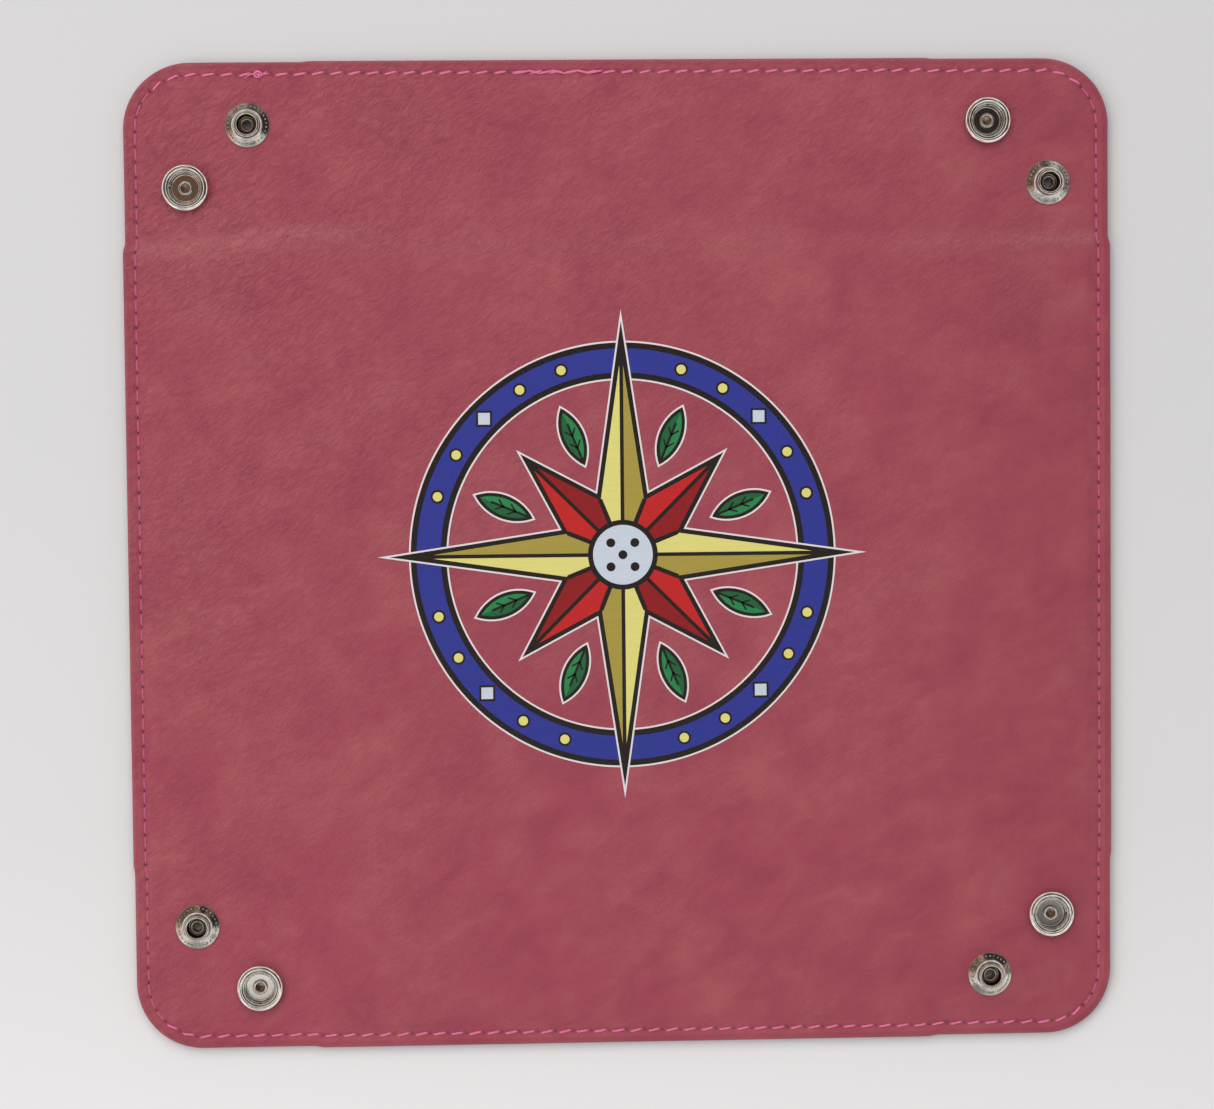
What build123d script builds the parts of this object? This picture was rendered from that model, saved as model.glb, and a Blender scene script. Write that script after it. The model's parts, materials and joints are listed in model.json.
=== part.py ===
from build123d import *
import math
import os

# Folding snap-up dice tray, modelled flat. Millimetres, +Z up.
# Origin: centre of the underside of the base panel. +X is the right edge, +Y the back edge.
# The mat is two leatherette covers with thin boards between them. Four wall flaps hinge on the
# base along straight fold lines. Each soft corner square folds on its diagonal into two halves,
# and each half hinges on its own wall. A socket on one half and a stud on the other close it.

# ---- mat ----
SIDE = 254.0                 # edge to edge, flat
FLAP = 48.0                  # wall flap, fold line to outer edge
CORNER_R = 17.5              # outer corner radius
COVER_T = 1.0                # one leatherette ply
BOARD_T = 1.2                # stiffening board

# ---- snap heights, which set how far apart the two closed corner halves stand ----
SOCKET_H = 3.0               # socket, face to rim
SNAP_SEAT = 1.1              # the socket's rim stands this far off the stud's face when closed

EDGE = SIDE / 2              # outer edge, from the centre
FOLD = EDGE - FLAP           # fold line, from the centre
MID_Z = COVER_T + BOARD_T / 2        # hinge height, the middle of the mat
TOP = 2 * COVER_T + BOARD_T          # inner face over the boards
CORNER_TOP = MID_Z + COVER_T         # inner face of the soft corners and of the sewn edge
CORNER_BOTTOM = MID_Z - COVER_T
CLOSED_GAP = SOCKET_H + SNAP_SEAT
SETBACK = math.sqrt(2) * (COVER_T + CLOSED_GAP / 2)
CREASE = FOLD - SETBACK      # wall/corner crease, short of the neighbouring fold line

# ---- clearances at the folds ----
FOLD_GAP_IN = 1.7            # inner cover stops this far from a fold line, so a wall can stand up
FOLD_GAP_OUT = 0.03          # outer cover nearly meets at a fold line
FOLD_GAP_CORNER_OUT = 0.10   # outer corner ply to fold line
BOARD_GAP = 2.6              # board edge to fold line
CREASE_GAP_IN = 0.05
CREASE_GAP_WALL_OUT = 0.70   # outer plies stop short of the crease, which folds outward
CREASE_GAP_CORNER_OUT = 0.45
BOARD_END = 1.6              # board end to wall/corner crease
DIAGONAL_GAP = 0.25          # each corner half stops this far from the corner's diagonal
BOARD_EDGE_INSET = 5.6       # board to outer edge
RAMP_OUT, RAMP_IN = 4.0, 5.4  # covers slope together between these distances from the edge
CUT_OVERSIZE = 5.0           # corner cutting outline reaches this far past the mat

# ---- stitching ----
STITCH_INSET = 3.2
STITCH_W, STITCH_H = 0.6, 0.3
PITCH_LR = 3.85              # stitch pitch along the left and right edges
PITCH_FB = 4.6               # along the front and back edges
STITCH_SHARE = 0.78          # stitch length over pitch
SEAM_CREASE_GAP = 0.9        # end of a seam to the wall/corner crease
SEAM_DIAGONAL_GAP = 0.5      # end of a corner seam to the diagonal, along the seam

# ---- snaps ----
SNAP_NEAR, SNAP_FAR = 16.3, 32.2   # snap centre to its own wall's edge, and to the other edge
SNAP_X, SNAP_Y = EDGE - SNAP_NEAR, EDGE - SNAP_FAR
POST_R, POST_BORE = 1.55, 1.15     # both radii
PLY_HOLE_R = 1.75
SOCKET_R = 5.9
STUD_R, NOSE_R, NOSE_H = 5.7, 3.35, 3.4
FLANGE_R, FLANGE_EDGE_Z = 5.52, 0.46   # outer end of the stud's sloping flange
FLANGE_SLOPE = 23.1                # degrees
CAP_R, CAP_T = 6.2, 1.75
CAP_ROUND = 0.65                   # rounding of the cap's inner edge
CROWN_R, CROWN_DEPTH = 5.30, 1.30  # rim of the cap's domed crown, and its depth below the mat
EYELET_R = 5.3

# ---- emblem film ----
FILM_T = 0.12
FILM_BORDER = 0.45           # bare film left round the print
STAR_LONG, STAR_SHORT, STAR_VALLEY = 60.0, 37.0, 17.0
RING_R, RING_HALF = 50.0, 4.6
LEAF_R, LEAF_LENGTH, LEAF_WIDTH = 33.0, 16.0, 6.0
LEAF_COUNT, LEAF_STEPS = 8, 6    # leaves, and straight steps along each side of a leaf


# ---------------------------------------------------------------- helpers
def box(x0, x1, y0, y1, z0, z1):
    return Pos((x0 + x1) / 2, (y0 + y1) / 2, (z0 + z1) / 2) * Box(x1 - x0, y1 - y0, z1 - z0)


def square_plate(half, z0, z1):
    return one(box(-half, half, -half, half, z0, z1))


def prism_y(points, half_length):
    """A solid of constant section along Y, centred on y = 0, from (x, z) points."""
    face = make_face(Polyline(*[(x, 0, z) for x, z in points], close=True))
    return one(Pos(0, -half_length, 0) * extrude(face, amount=2 * half_length, dir=(0, 1, 0)))


def turned(start, *steps):
    """Turn a closed (radius, z) profile about Z. A step is a point, or a (mid, end) arc pair."""
    def in_xz(point):
        return (point[0], 0, point[1])

    edges, here = [], start
    for step in steps:
        if isinstance(step[0], tuple):
            middle, end = step
            edges.append(ThreePointArc(in_xz(here), in_xz(middle), in_xz(end)))
        else:
            end = step
            edges.append(Line(in_xz(here), in_xz(end)))
        here = end
    if math.dist(here, start) > 1e-6:
        edges.append(Line(in_xz(here), in_xz(start)))
    return revolve(make_face(edges), Axis.Z)


def one(shape):
    """The shape's only solid, or a compound of its solids."""
    solids = shape.solids()
    return solids[0] if len(solids) == 1 else Compound(children=list(solids))


# ---------------------------------------------------------------- snap parts, about their own axis
# z = 0 is the inner face of the corner, and z = OUTER its outer face. Profiles are (radius, z).
OUTER = -2 * COVER_T
HEAD_Z = OUTER - 0.02        # caps and eyelets start just clear of the outer face

# The upper end of a setting post, rolled outward over the part it holds
POST_FLARE = [
    ((1.22, 0.98), (1.50, 1.14)), ((1.86, 1.00), (1.95, 0.66)),
    (1.95, 0.46), (POST_R, 0.46),
]

# Ring spring: wire lying in the groove under the socket's lip, with one split
SPRING_R, SPRING_WIRE_R, SPRING_Z = 3.87, 0.29, 1.90
SPRING_SPLIT = (1.4, 0.9, 1.2)

# Pressed ribs and beads round the stud's flange, taken in turn: radius, (radial, across, height)
FLANGE_MARKS = [
    (4.85, (0.86, 0.30, 0.26)),
    (5.02, (0.46, 0.34, 0.26)),
    (4.72, (0.42, 0.44, 0.24)),
]
MARK_COUNT = 26
MARK_SINK = 0.03             # mark centres lie this far below the line of the flange


def make_socket():
    body = turned(
        (1.70, 0.0), (4.9, 0.0),
        ((5.62, 0.40), (SOCKET_R, 1.20)), (SOCKET_R, 2.05),
        ((5.76, 2.74), (5.22, SOCKET_H)), ((4.86, 2.96), (4.66, 2.78)),
        (4.64, 2.66), (4.44, 2.62),
        ((4.26, 2.74), (4.08, 2.60)), (3.96, 2.46), (3.98, 2.31), (4.26, 2.30),
        (4.26, 1.50), (3.70, 1.50), (3.62, 0.86),
        ((3.52, 0.54), (3.20, 0.42)), (1.70, 0.42),
    )
    spring = Pos(0, 0, SPRING_Z) * Torus(SPRING_R, SPRING_WIRE_R)
    spring -= Pos(SPRING_R, 0, SPRING_Z) * Box(*SPRING_SPLIT)
    return Compound(children=[body.solids()[0], spring.solids()[0]])


def make_cap():
    """Domed head on the outer face, with the post that holds the socket."""
    flat_r = CAP_R - CAP_ROUND
    diagonal = CAP_ROUND * math.sqrt(0.5)
    sag = CAP_T - CROWN_DEPTH
    dome_r = (CROWN_R ** 2 + sag ** 2) / (2 * sag)
    crown_mid = CROWN_R / 2
    crown_mid_z = OUTER - CAP_T + dome_r - math.sqrt(dome_r ** 2 - crown_mid ** 2)
    bore_z = OUTER - 0.95
    return one(turned(
        (0.0, bore_z), (POST_BORE, bore_z), (POST_BORE, 0.70), *POST_FLARE,
        (POST_R, HEAD_Z), (flat_r, HEAD_Z),
        ((flat_r + diagonal, HEAD_Z - CAP_ROUND + diagonal), (CAP_R, HEAD_Z - CAP_ROUND)),
        ((6.02, OUTER - 1.08), (CROWN_R, OUTER - CROWN_DEPTH)),
        ((crown_mid, crown_mid_z), (0.0, OUTER - CAP_T)),
    ))


def make_stud():
    body = turned(
        (1.70, 0.0), (5.48, 0.0),
        ((5.66, 0.09), (STUD_R, 0.24)), ((5.67, 0.37), (FLANGE_R, FLANGE_EDGE_Z)),
        (4.30, 0.98), ((3.66, 1.22), (3.30, 1.56)), (3.12, 1.90), (3.10, 2.20),
        ((3.18, 2.50), (NOSE_R, 2.80)), ((3.28, 3.24), (2.90, NOSE_H)),
        ((2.60, 3.28), (2.46, 2.95)), (2.42, 0.86),
        ((2.34, 0.56), (2.10, 0.42)), (1.70, 0.42),
    )
    rise = math.tan(math.radians(FLANGE_SLOPE))
    for i in range(MARK_COUNT):
        radius, size = FLANGE_MARKS[i % len(FLANGE_MARKS)]
        z = FLANGE_EDGE_Z + (FLANGE_R - radius) * rise - MARK_SINK
        mark = Pos(radius, 0, z) * Rot(0, FLANGE_SLOPE, 0) * Box(*size)
        body += Rot(0, 0, 360 / MARK_COUNT * i) * mark
    return one(body)


def make_eyelet():
    """Open ring on the outer face, with the post that holds the stud."""
    return one(turned(
        (POST_BORE, OUTER - 0.62), (POST_BORE, 0.70), *POST_FLARE,
        (POST_R, HEAD_Z), (5.05, HEAD_Z),
        ((5.24, OUTER - 0.10), (EYELET_R, OUTER - 0.28)),
        ((5.16, OUTER - 0.56), (4.70, OUTER - 0.72)),
        ((3.20, OUTER - 1.02), (1.90, OUTER - 0.96)),
        ((1.36, OUTER - 0.88), (POST_BORE, OUTER - 0.62)),
    ))


# ---------------------------------------------------------------- right wall and its back corner
def wall_inner_cover():
    start = FOLD + FOLD_GAP_IN
    return prism_y([
        (start, TOP - COVER_T), (EDGE - RAMP_IN, TOP - COVER_T),
        (EDGE - RAMP_OUT, MID_Z), (EDGE, MID_Z),
        (EDGE, CORNER_TOP), (EDGE - RAMP_OUT, CORNER_TOP),
        (EDGE - RAMP_IN, TOP), (start, TOP),
    ], CREASE - CREASE_GAP_IN)


def wall_outer_cover():
    start = FOLD + FOLD_GAP_OUT
    return prism_y([
        (start, 0), (EDGE - RAMP_IN, 0),
        (EDGE - RAMP_OUT, CORNER_BOTTOM), (EDGE, CORNER_BOTTOM),
        (EDGE, MID_Z), (EDGE - RAMP_OUT, MID_Z),
        (EDGE - RAMP_IN, COVER_T), (start, COVER_T),
    ], CREASE - CREASE_GAP_WALL_OUT)


def wall_board():
    half_length = CREASE - BOARD_END
    return one(box(FOLD + BOARD_GAP, EDGE - BOARD_EDGE_INSET, -half_length, half_length,
                   COVER_T, COVER_T + BOARD_T))


def corner_ply(x0, y0, z0):
    """One ply of the corner half below the diagonal, round at the mat's corner."""
    drop = DIAGONAL_GAP * math.sqrt(2)
    far = EDGE + CUT_OVERSIZE
    mat = RectangleRounded(SIDE, SIDE, CORNER_R)
    half = make_face(Polyline((x0, y0), (far, y0), (far, far - drop), (x0, x0 - drop), close=True))
    face = (mat & half) - Pos(SNAP_X, SNAP_Y) * Circle(PLY_HOLE_R)
    return one(Pos(0, 0, z0) * extrude(face, amount=COVER_T))


# ---------------------------------------------------------------- stitching of the right edge
def stitch(x, y, heading, length):
    """One thread stitch on each face of the sewn edge."""
    return [
        (Pos(x, y, z) * Rot(0, 0, heading)
         * extrude(SlotOverall(length, STITCH_W), amount=STITCH_H)).solids()[0]
        for z in (CORNER_TOP, CORNER_BOTTOM - STITCH_H)
    ]


def spaced(seam, pitch):
    """Stitch centres along a seam of the given length, and the stitch length."""
    count = int(seam / pitch)
    step = seam / count
    return [(i + 0.5) * step for i in range(count)], step * STITCH_SHARE


def wall_stitches(pitch):
    seam = 2 * (CREASE - SEAM_CREASE_GAP)
    centres, length = spaced(seam, pitch)
    threads = []
    for along in centres:
        threads += stitch(EDGE - STITCH_INSET, -seam / 2 + along, 90, length)
    return Compound(children=threads)


def corner_stitches(pitch):
    """Along the right edge from the crease, then round the corner to the diagonal."""
    start, arc_centre = CREASE + SEAM_CREASE_GAP, EDGE - CORNER_R
    radius = CORNER_R - STITCH_INSET
    seam = (arc_centre - start) + radius * math.pi / 4 - SEAM_DIAGONAL_GAP
    centres, length = spaced(seam, pitch)
    threads = []
    for along in centres:
        y = start + along
        if y <= arc_centre:
            threads += stitch(EDGE - STITCH_INSET, y, 90, length)
        else:
            angle = (y - arc_centre) / radius
            threads += stitch(arc_centre + radius * math.cos(angle),
                              arc_centre + radius * math.sin(angle),
                              90 + math.degrees(angle), length)
    return Compound(children=threads)


# ---------------------------------------------------------------- emblem film
# One film layer: a compass star over a plain ring, with a leaf between each two points.
def leaf_points(heading):
    """A pointed leaf lying along the ray at this heading, counter-clockwise."""
    half_l, half_w = LEAF_LENGTH / 2, LEAF_WIDTH / 2
    side_r = (half_l ** 2 + half_w ** 2) / (2 * half_w)
    side = []
    for i in range(LEAF_STEPS + 1):
        x = half_l * (1 - 2 * i / LEAF_STEPS)
        side.append((x, math.sqrt(side_r ** 2 - x ** 2) - side_r + half_w))
    outline = side + [(-x, -y) for x, y in side[1:-1]]
    cos, sin = math.cos(math.radians(heading)), math.sin(math.radians(heading))
    return [((LEAF_R + x) * cos - y * sin, (LEAF_R + x) * sin + y * cos) for x, y in outline]


def star_points():
    """Long points on the axes, short ones between, counter-clockwise."""
    points = []
    for i in range(16):
        radius = STAR_VALLEY if i % 2 else (STAR_LONG if i % 4 == 0 else STAR_SHORT)
        angle = math.radians(22.5 * i)
        points.append((radius * math.cos(angle), radius * math.sin(angle)))
    return points


def bordered(points):
    """Face of a counter-clockwise polygon with each edge moved out by the film border."""
    def outward(start, end):
        dx, dy = end[0] - start[0], end[1] - start[1]
        length = math.hypot(dx, dy)
        return dy / length, -dx / length

    grown = []
    for i, (x, y) in enumerate(points):
        ax, ay = outward(points[i - 1], (x, y))
        bx, by = outward((x, y), points[(i + 1) % len(points)])
        scale = FILM_BORDER / (1 + ax * bx + ay * by)
        grown.append((x + scale * (ax + bx), y + scale * (ay + by)))
    return make_face(Polyline(*grown, close=True))


def make_emblem():
    film = Sketch() + bordered(star_points())
    half_band = RING_HALF + FILM_BORDER
    film += Circle(RING_R + half_band) - Circle(RING_R - half_band)
    for i in range(LEAF_COUNT):
        film += bordered(leaf_points(360 / LEAF_COUNT * (i + 0.5)))
    return one(Pos(0, 0, TOP) * extrude(film, amount=FILM_T))


# ---------------------------------------------------------------- assemble and write
nodes = {
    "base_board": square_plate(FOLD - BOARD_GAP, COVER_T, COVER_T + BOARD_T),
    "inner_cover_base": square_plate(FOLD - FOLD_GAP_IN, TOP - COVER_T, TOP),
    "outer_cover_base": square_plate(FOLD - FOLD_GAP_OUT, 0, COVER_T),
    "emblem_film": make_emblem(),
}

wall_pieces = {
    "inner_cover_wall": wall_inner_cover(),
    "outer_cover_wall": wall_outer_cover(),
    "wall_board": wall_board(),
}
corner_plies = {
    "inner_cover": corner_ply(FOLD + FOLD_GAP_IN, CREASE + CREASE_GAP_IN, MID_Z),
    "outer_cover": corner_ply(FOLD + FOLD_GAP_CORNER_OUT, CREASE + CREASE_GAP_CORNER_OUT,
                              CORNER_BOTTOM),
}
# Snap parts at each end of the right wall: +1 is its back end, -1 its front end
snaps = {
    1: {"stud": make_stud(), "eyelet": make_eyelet()},
    -1: {"socket": make_socket(), "cap": make_cap()},
}

# Wall, turn of the right wall about Z, stitch pitch, names of its +1 and -1 ends
WALLS = [
    ("right", 0, PITCH_LR, "back", "front"),
    ("back", 90, PITCH_FB, "left", "right"),
    ("left", 180, PITCH_LR, "front", "back"),
    ("front", 270, PITCH_FB, "right", "left"),
]
for wall, angle, pitch, plus_end, minus_end in WALLS:
    turn = Rot(0, 0, angle)
    for piece, shape in wall_pieces.items():
        nodes[f"{piece}_{wall}"] = turn * shape
    nodes[f"stitching_wall_{wall}"] = turn * wall_stitches(pitch)
    corner_pieces = {**corner_plies, "stitching": corner_stitches(pitch)}
    for end, sign in ((plus_end, 1), (minus_end, -1)):
        for piece, shape in corner_pieces.items():
            placed = shape if sign == 1 else mirror(shape, about=Plane.XZ)
            nodes[f"{piece}_corner_{wall}_{end}"] = turn * placed
        for piece, shape in snaps[sign].items():
            snap_place = turn * Pos(SNAP_X, sign * SNAP_Y, CORNER_TOP)
            nodes[f"snap_{piece}_{wall}_{end}"] = snap_place * shape

os.makedirs("parts", exist_ok=True)
for name, shape in nodes.items():
    export_step(shape, f"parts/{name}.step")
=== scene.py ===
"""A square folding tray mat: two leatherette covers sewn over boards, with four walls, soft
corners that fold along their diagonals, eight snaps and a printed compass emblem.

The mat lies flat and centred in XY: +X is right, +Y is back, +Z is up. Lengths are in mm
and are turned into metres where meshes are made.
"""
import bpy
import bmesh
import json
import math
import numpy as np
from mathutils import Matrix, Vector, noise


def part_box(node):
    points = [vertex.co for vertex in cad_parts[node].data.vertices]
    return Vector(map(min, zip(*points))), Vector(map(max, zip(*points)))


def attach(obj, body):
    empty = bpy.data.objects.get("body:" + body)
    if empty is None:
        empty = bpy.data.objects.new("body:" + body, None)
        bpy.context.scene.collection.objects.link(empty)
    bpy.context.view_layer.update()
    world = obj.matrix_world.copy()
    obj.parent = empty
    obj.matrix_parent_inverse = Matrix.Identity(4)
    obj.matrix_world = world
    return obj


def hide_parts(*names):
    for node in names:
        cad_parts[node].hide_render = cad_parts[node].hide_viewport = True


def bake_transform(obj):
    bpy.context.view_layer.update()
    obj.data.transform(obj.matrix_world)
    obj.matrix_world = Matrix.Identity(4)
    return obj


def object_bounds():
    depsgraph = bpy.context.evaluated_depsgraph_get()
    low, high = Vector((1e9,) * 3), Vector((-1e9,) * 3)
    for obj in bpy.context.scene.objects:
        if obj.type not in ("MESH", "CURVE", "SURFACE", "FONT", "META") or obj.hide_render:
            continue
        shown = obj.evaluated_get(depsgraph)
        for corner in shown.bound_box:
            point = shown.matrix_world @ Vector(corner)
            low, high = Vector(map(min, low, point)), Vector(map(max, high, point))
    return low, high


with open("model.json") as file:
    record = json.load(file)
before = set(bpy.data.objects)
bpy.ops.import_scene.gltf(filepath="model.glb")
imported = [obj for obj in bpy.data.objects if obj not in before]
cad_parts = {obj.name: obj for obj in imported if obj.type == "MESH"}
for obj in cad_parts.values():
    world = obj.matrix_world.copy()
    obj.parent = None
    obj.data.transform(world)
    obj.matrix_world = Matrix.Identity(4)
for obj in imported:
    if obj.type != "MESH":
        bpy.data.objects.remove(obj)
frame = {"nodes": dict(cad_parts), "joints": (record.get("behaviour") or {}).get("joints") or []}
CAD_LO, CAD_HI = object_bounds()
MM = 0.001

# ---------------------------------------------------------------- dimensions from the frame
JOINTS = {joint["name"]: joint for joint in frame["joints"]}
FOLD = JOINTS["fold_wall_right"]["pos_m"][0] * 1000             # fold line, from the centre
MID_Z = JOINTS["fold_wall_right"]["pos_m"][2] * 1000            # hinge height, between the covers
CREASE = JOINTS["fold_corner_right_back"]["pos_m"][1] * 1000    # crease between wall and corner
SETBACK = FOLD - CREASE
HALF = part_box("inner_cover_wall_right")[1].x * 1000             # centre to outer edge
TOP_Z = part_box("inner_cover_base")[1].z * 1000                  # cover over a board
COVER_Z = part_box("inner_cover_corner_right_back")[1].z * 1000   # cover on a soft corner
PLY = COVER_Z - MID_Z
LIFT = TOP_Z - COVER_Z                                          # how far the boards raise each face

# ---------------------------------------------------------------- driving dimensions
OUTLINE_R = 17.5                  # rounding of the mat's corners
STRAIGHT = HALF - OUTLINE_R       # half the straight run of a side
SEAM_IN = 3.2                     # seam, in from the edge
FOLD_HALF = 4.0                   # half width of a wall's fold
FOLD_END_HALF = 0.5               # half width at the fold's two ends
CREASE_HALF = 3.0
SOFT_STRIP = 5.0                  # soft band beside each corner's diagonal
POST_HOLE_R = 2.0                 # hole in the leather round a snap's post
WALLS = {"right": 0, "back": 90, "left": 180, "front": 270}     # degrees from +X
# the two ends of each wall: the first carries a stud, the second a socket
ENDS = {"right": ("back", "front"), "back": ("left", "right"),
        "left": ("front", "back"), "front": ("right", "left")}


# ---------------------------------------------------------------- plain maths
def smooth(t):
    t = np.clip(t, 0, 1)
    return t * t * (3 - 2 * t)


def rise(value, start, width):
    """Smooth step from 0 at start to 1 at start + width."""
    return smooth((value - start) / width)


def bell(offset, width):
    return np.exp(-(offset / width) ** 2)


def turned(x, y, angle):
    c, s = math.cos(angle), math.sin(angle)
    return x * c - y * s, x * s + y * c


def far_near(x, y):
    """The larger and the smaller distance from the two centre lines."""
    return np.maximum(np.abs(x), np.abs(y)), np.minimum(np.abs(x), np.abs(y))


def polar(radius, degrees):
    angle = math.radians(degrees)
    return radius * math.cos(angle), radius * math.sin(angle)


def counterclockwise(points):
    area = sum(a[0] * b[1] - b[0] * a[1] for a, b in zip(points, points[1:] + points[:1]))
    return points[::-1] if area < 0 else points


# ---------------------------------------------------------------- the grid both covers share
# distances in from the outer edge, close together round the seam and the rolled edge
EDGE_LINES = (9.2, 8.2, 7.3, 6.5, 5.8, 5.2, 4.7, 4.3, 3.95, 3.65, 3.4, 3.2, 3.0, 2.75, 2.45, 2.1,
              1.7, 1.35, 1.05, 0.8, 0.58, 0.38, 0.22, 0.1, 0.03, 0.0)
MIN_SPACING = 0.26


def grid_lines():
    values = [*np.arange(0, 64.01, 1.6), *np.arange(65, 70.9, 1.2),
              *np.arange(FOLD - FOLD_HALF, FOLD + FOLD_HALF + 0.01, 0.5)]
    values += [CREASE + k * CREASE_HALF / 4 for k in range(-4, 5)]
    values += [FOLD - FOLD_END_HALF, FOLD, FOLD + FOLD_END_HALF]
    values += list(np.arange(FOLD + FOLD_HALF + 0.9, HALF - 9.5, 1.25))
    values += [HALF - inset for inset in EDGE_LINES]
    # lines that bound a body are never merged away
    fixed = {round(v, 4) for v in (FOLD - FOLD_HALF, FOLD - FOLD_END_HALF, FOLD + FOLD_END_HALF,
                                   FOLD, CREASE - CREASE_HALF, CREASE + CREASE_HALF, HALF)}
    values = sorted({round(v, 4) for v in values})
    lines = [values[0]]
    for value in values[1:]:
        crowded = value - lines[-1] < MIN_SPACING and value < HALF - 6
        if not crowded or (value in fixed and lines[-1] in fixed):
            lines.append(value)
        elif value in fixed:
            lines[-1] = value
    return np.array([-v for v in reversed(lines[1:])] + lines)


GRID = grid_lines()
GRID_X, GRID_Y = np.meshgrid(GRID, GRID, indexing="ij")


def edge_distance(x, y):
    return HALF - far_near(x, y)[0]


def plan(x, y):
    """Square grid position to the real outline: round corners, and soft corners that are
    drawn in a little from the boards' edge."""
    x, y = np.asarray(x, float), np.asarray(y, float)
    ax, ay = np.abs(x), np.abs(y)
    a, b = ax - STRAIGHT, ay - STRAIGHT
    rounded = (a > 0) & (b > 0)
    radius = np.maximum(a, b)
    angle = np.where(a >= b, b / np.where(a == 0, 1, a) * math.pi / 4,
                     math.pi / 2 - a / np.where(b == 0, 1, b) * math.pi / 4)
    px = np.where(rounded, STRAIGHT + radius * np.cos(angle), ax)
    py = np.where(rounded, STRAIGHT + radius * np.sin(angle), ay)
    normal_x = np.where(rounded, np.cos(angle), (ax >= ay) * 1.0)
    normal_y = np.where(rounded, np.sin(angle), (ax < ay) * 1.0)
    far, near = far_near(x, y)
    # one depth for the two edges that meet in a corner, eased between them round the bend
    beside = ax >= ay
    side_depth = np.where(y > 0, 0.62, 0.34)      # left and right edges: back end, front end
    end_depth = np.where(y > 0, 0.24, 0.42)       # back edge, front edge
    ease = 0.5 * rise(near, STRAIGHT - 6, OUTLINE_R + 6)
    depth = (np.where(beside, side_depth, end_depth) * (1 - ease)
             + np.where(beside, end_depth, side_depth) * ease)
    draw = depth * (rise(far, HALF - 13, 13) * rise(near, FOLD - 0.6, 3.0))
    return (np.where(x < 0, -1.0, 1.0) * (px - draw * normal_x),
            np.where(y < 0, -1.0, 1.0) * (py - draw * normal_y))


def snap_places():
    """Wall, end, kind and centre of each snap."""
    places = []
    for wall, ends in ENDS.items():
        for end, kind in zip(ends, ("stud", "socket")):
            low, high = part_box(f"snap_{kind}_{wall}_{end}")
            places.append((wall, end, kind, (low.x + high.x) * 500, (low.y + high.y) * 500))
    return places


SNAPS = snap_places()


# ---------------------------------------------------------------- relief of the covers
def board_lift(x, y, eased=False):
    """1 where a board lies under the cover, 0 on the soft corners and the sewn edge."""
    far, near = far_near(x, y)
    edge = rise(edge_distance(x, y), 4.1, 3.2 if eased else 1.9)
    if eased:
        dip = np.where((y > 0) & (np.abs(y) >= np.abs(x)), 0.30, 0.14)    # deepest at the back
        fold = 1 - dip * bell(far - FOLD, 2.6)
        soft = rise(near, CREASE - 7, 15) * rise(far, FOLD - 7, 15)
    else:
        fold = 1 - 0.42 * bell(far - FOLD, 1.9)
        soft = rise(near, CREASE - 1.4, 2.6) * rise(far, FOLD - 2.2, 3.2)
    return edge * fold * (1 - soft)


def octaves(x, y, scale, seed):
    total = np.zeros(x.size)
    for k, frequency in enumerate((1.0, 2.1)):
        xs, ys = x.ravel() * frequency / scale, y.ravel() * frequency / scale
        total += np.array([noise.noise(Vector((float(u), float(v), seed + 7.3 * k)))
                           for u, v in zip(xs, ys)]) / frequency
    return total.reshape(x.shape)


def heights(x, y):
    """Visible and hidden height of the inner cover, then hidden and visible of the outer."""
    wave = octaves(x, y, scale=26.0, seed=3.1)
    ripple = octaves(x * 0.72 + y * 0.70, (y * 0.72 - x * 0.70) * 3.0, scale=13.0, seed=11.7)
    edge = edge_distance(x, y)
    lift = board_lift(x, y)
    soft = rise(far_near(x, y)[1], CREASE, 4) * rise(edge, 1.0, 5)
    unprinted = rise(np.hypot(x, y), 65.0, 10.0)      # 0 under the emblem
    top = COVER_Z + LIFT * board_lift(x, y, eased=True)
    low = (MID_Z - PLY) - LIFT * lift
    top = top + wave * (0.06 + 0.20 * soft) * (0.25 + 0.75 * unprinted)
    top = top + ripple * 0.06 * (0.3 + 0.7 * soft) * unprinted
    # a faint ridge along the back wall's fold
    ridge = bell(y - (FOLD + 0.2), 1.7) * rise(np.abs(x), 20, 50)
    top = top + 0.10 * ridge * rise(edge, 1, 5)
    # the sewn groove, with a low swelling outside it
    groove = bell(edge - SEAM_IN, 0.85)
    top = top - 0.26 * groove
    low = low + 0.26 * groove
    top = top + 0.07 * bell(edge - 1.75, 0.7)
    # pressed flat under each snap, with a slight swelling round it
    for *_, snap_x, snap_y in SNAPS:
        r = np.hypot(x - snap_x, y - snap_y)
        pressed = 1 - rise(r, 6.4, 1.8)
        top = top * (1 - pressed) + (COVER_Z - 0.04) * pressed
        low = low * (1 - pressed) + (MID_Z - PLY + 0.04) * pressed
        top = top + 0.10 * bell(r - 8.1, 1.1)
    # nothing above the boards' face inside the printed area
    top = np.where(unprinted < 0.999, np.minimum(top, TOP_Z - 0.012 * (1 - unprinted)), top)
    # rolled edge, two plies thick
    roll_width, roll_height = 0.85, 0.90
    roll = np.sqrt(np.clip(1 - (1 - np.clip(edge / roll_width, 0, 1)) ** 2, 0, 1))
    step = PLY - roll_height
    top = np.where(edge < roll_width, MID_Z + step + (top - MID_Z - step) * roll, top)
    low = np.where(edge < roll_width, MID_Z - step + (low - MID_Z + step) * roll, low)
    hidden = LIFT * lift + 0.012
    return top, MID_Z + hidden, MID_Z - hidden, low


PLAN_X, PLAN_Y = plan(GRID_X, GRID_Y)
Z_TOP, Z_TOP_HIDDEN, Z_LOW_HIDDEN, Z_LOW = heights(GRID_X, GRID_Y)


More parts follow.
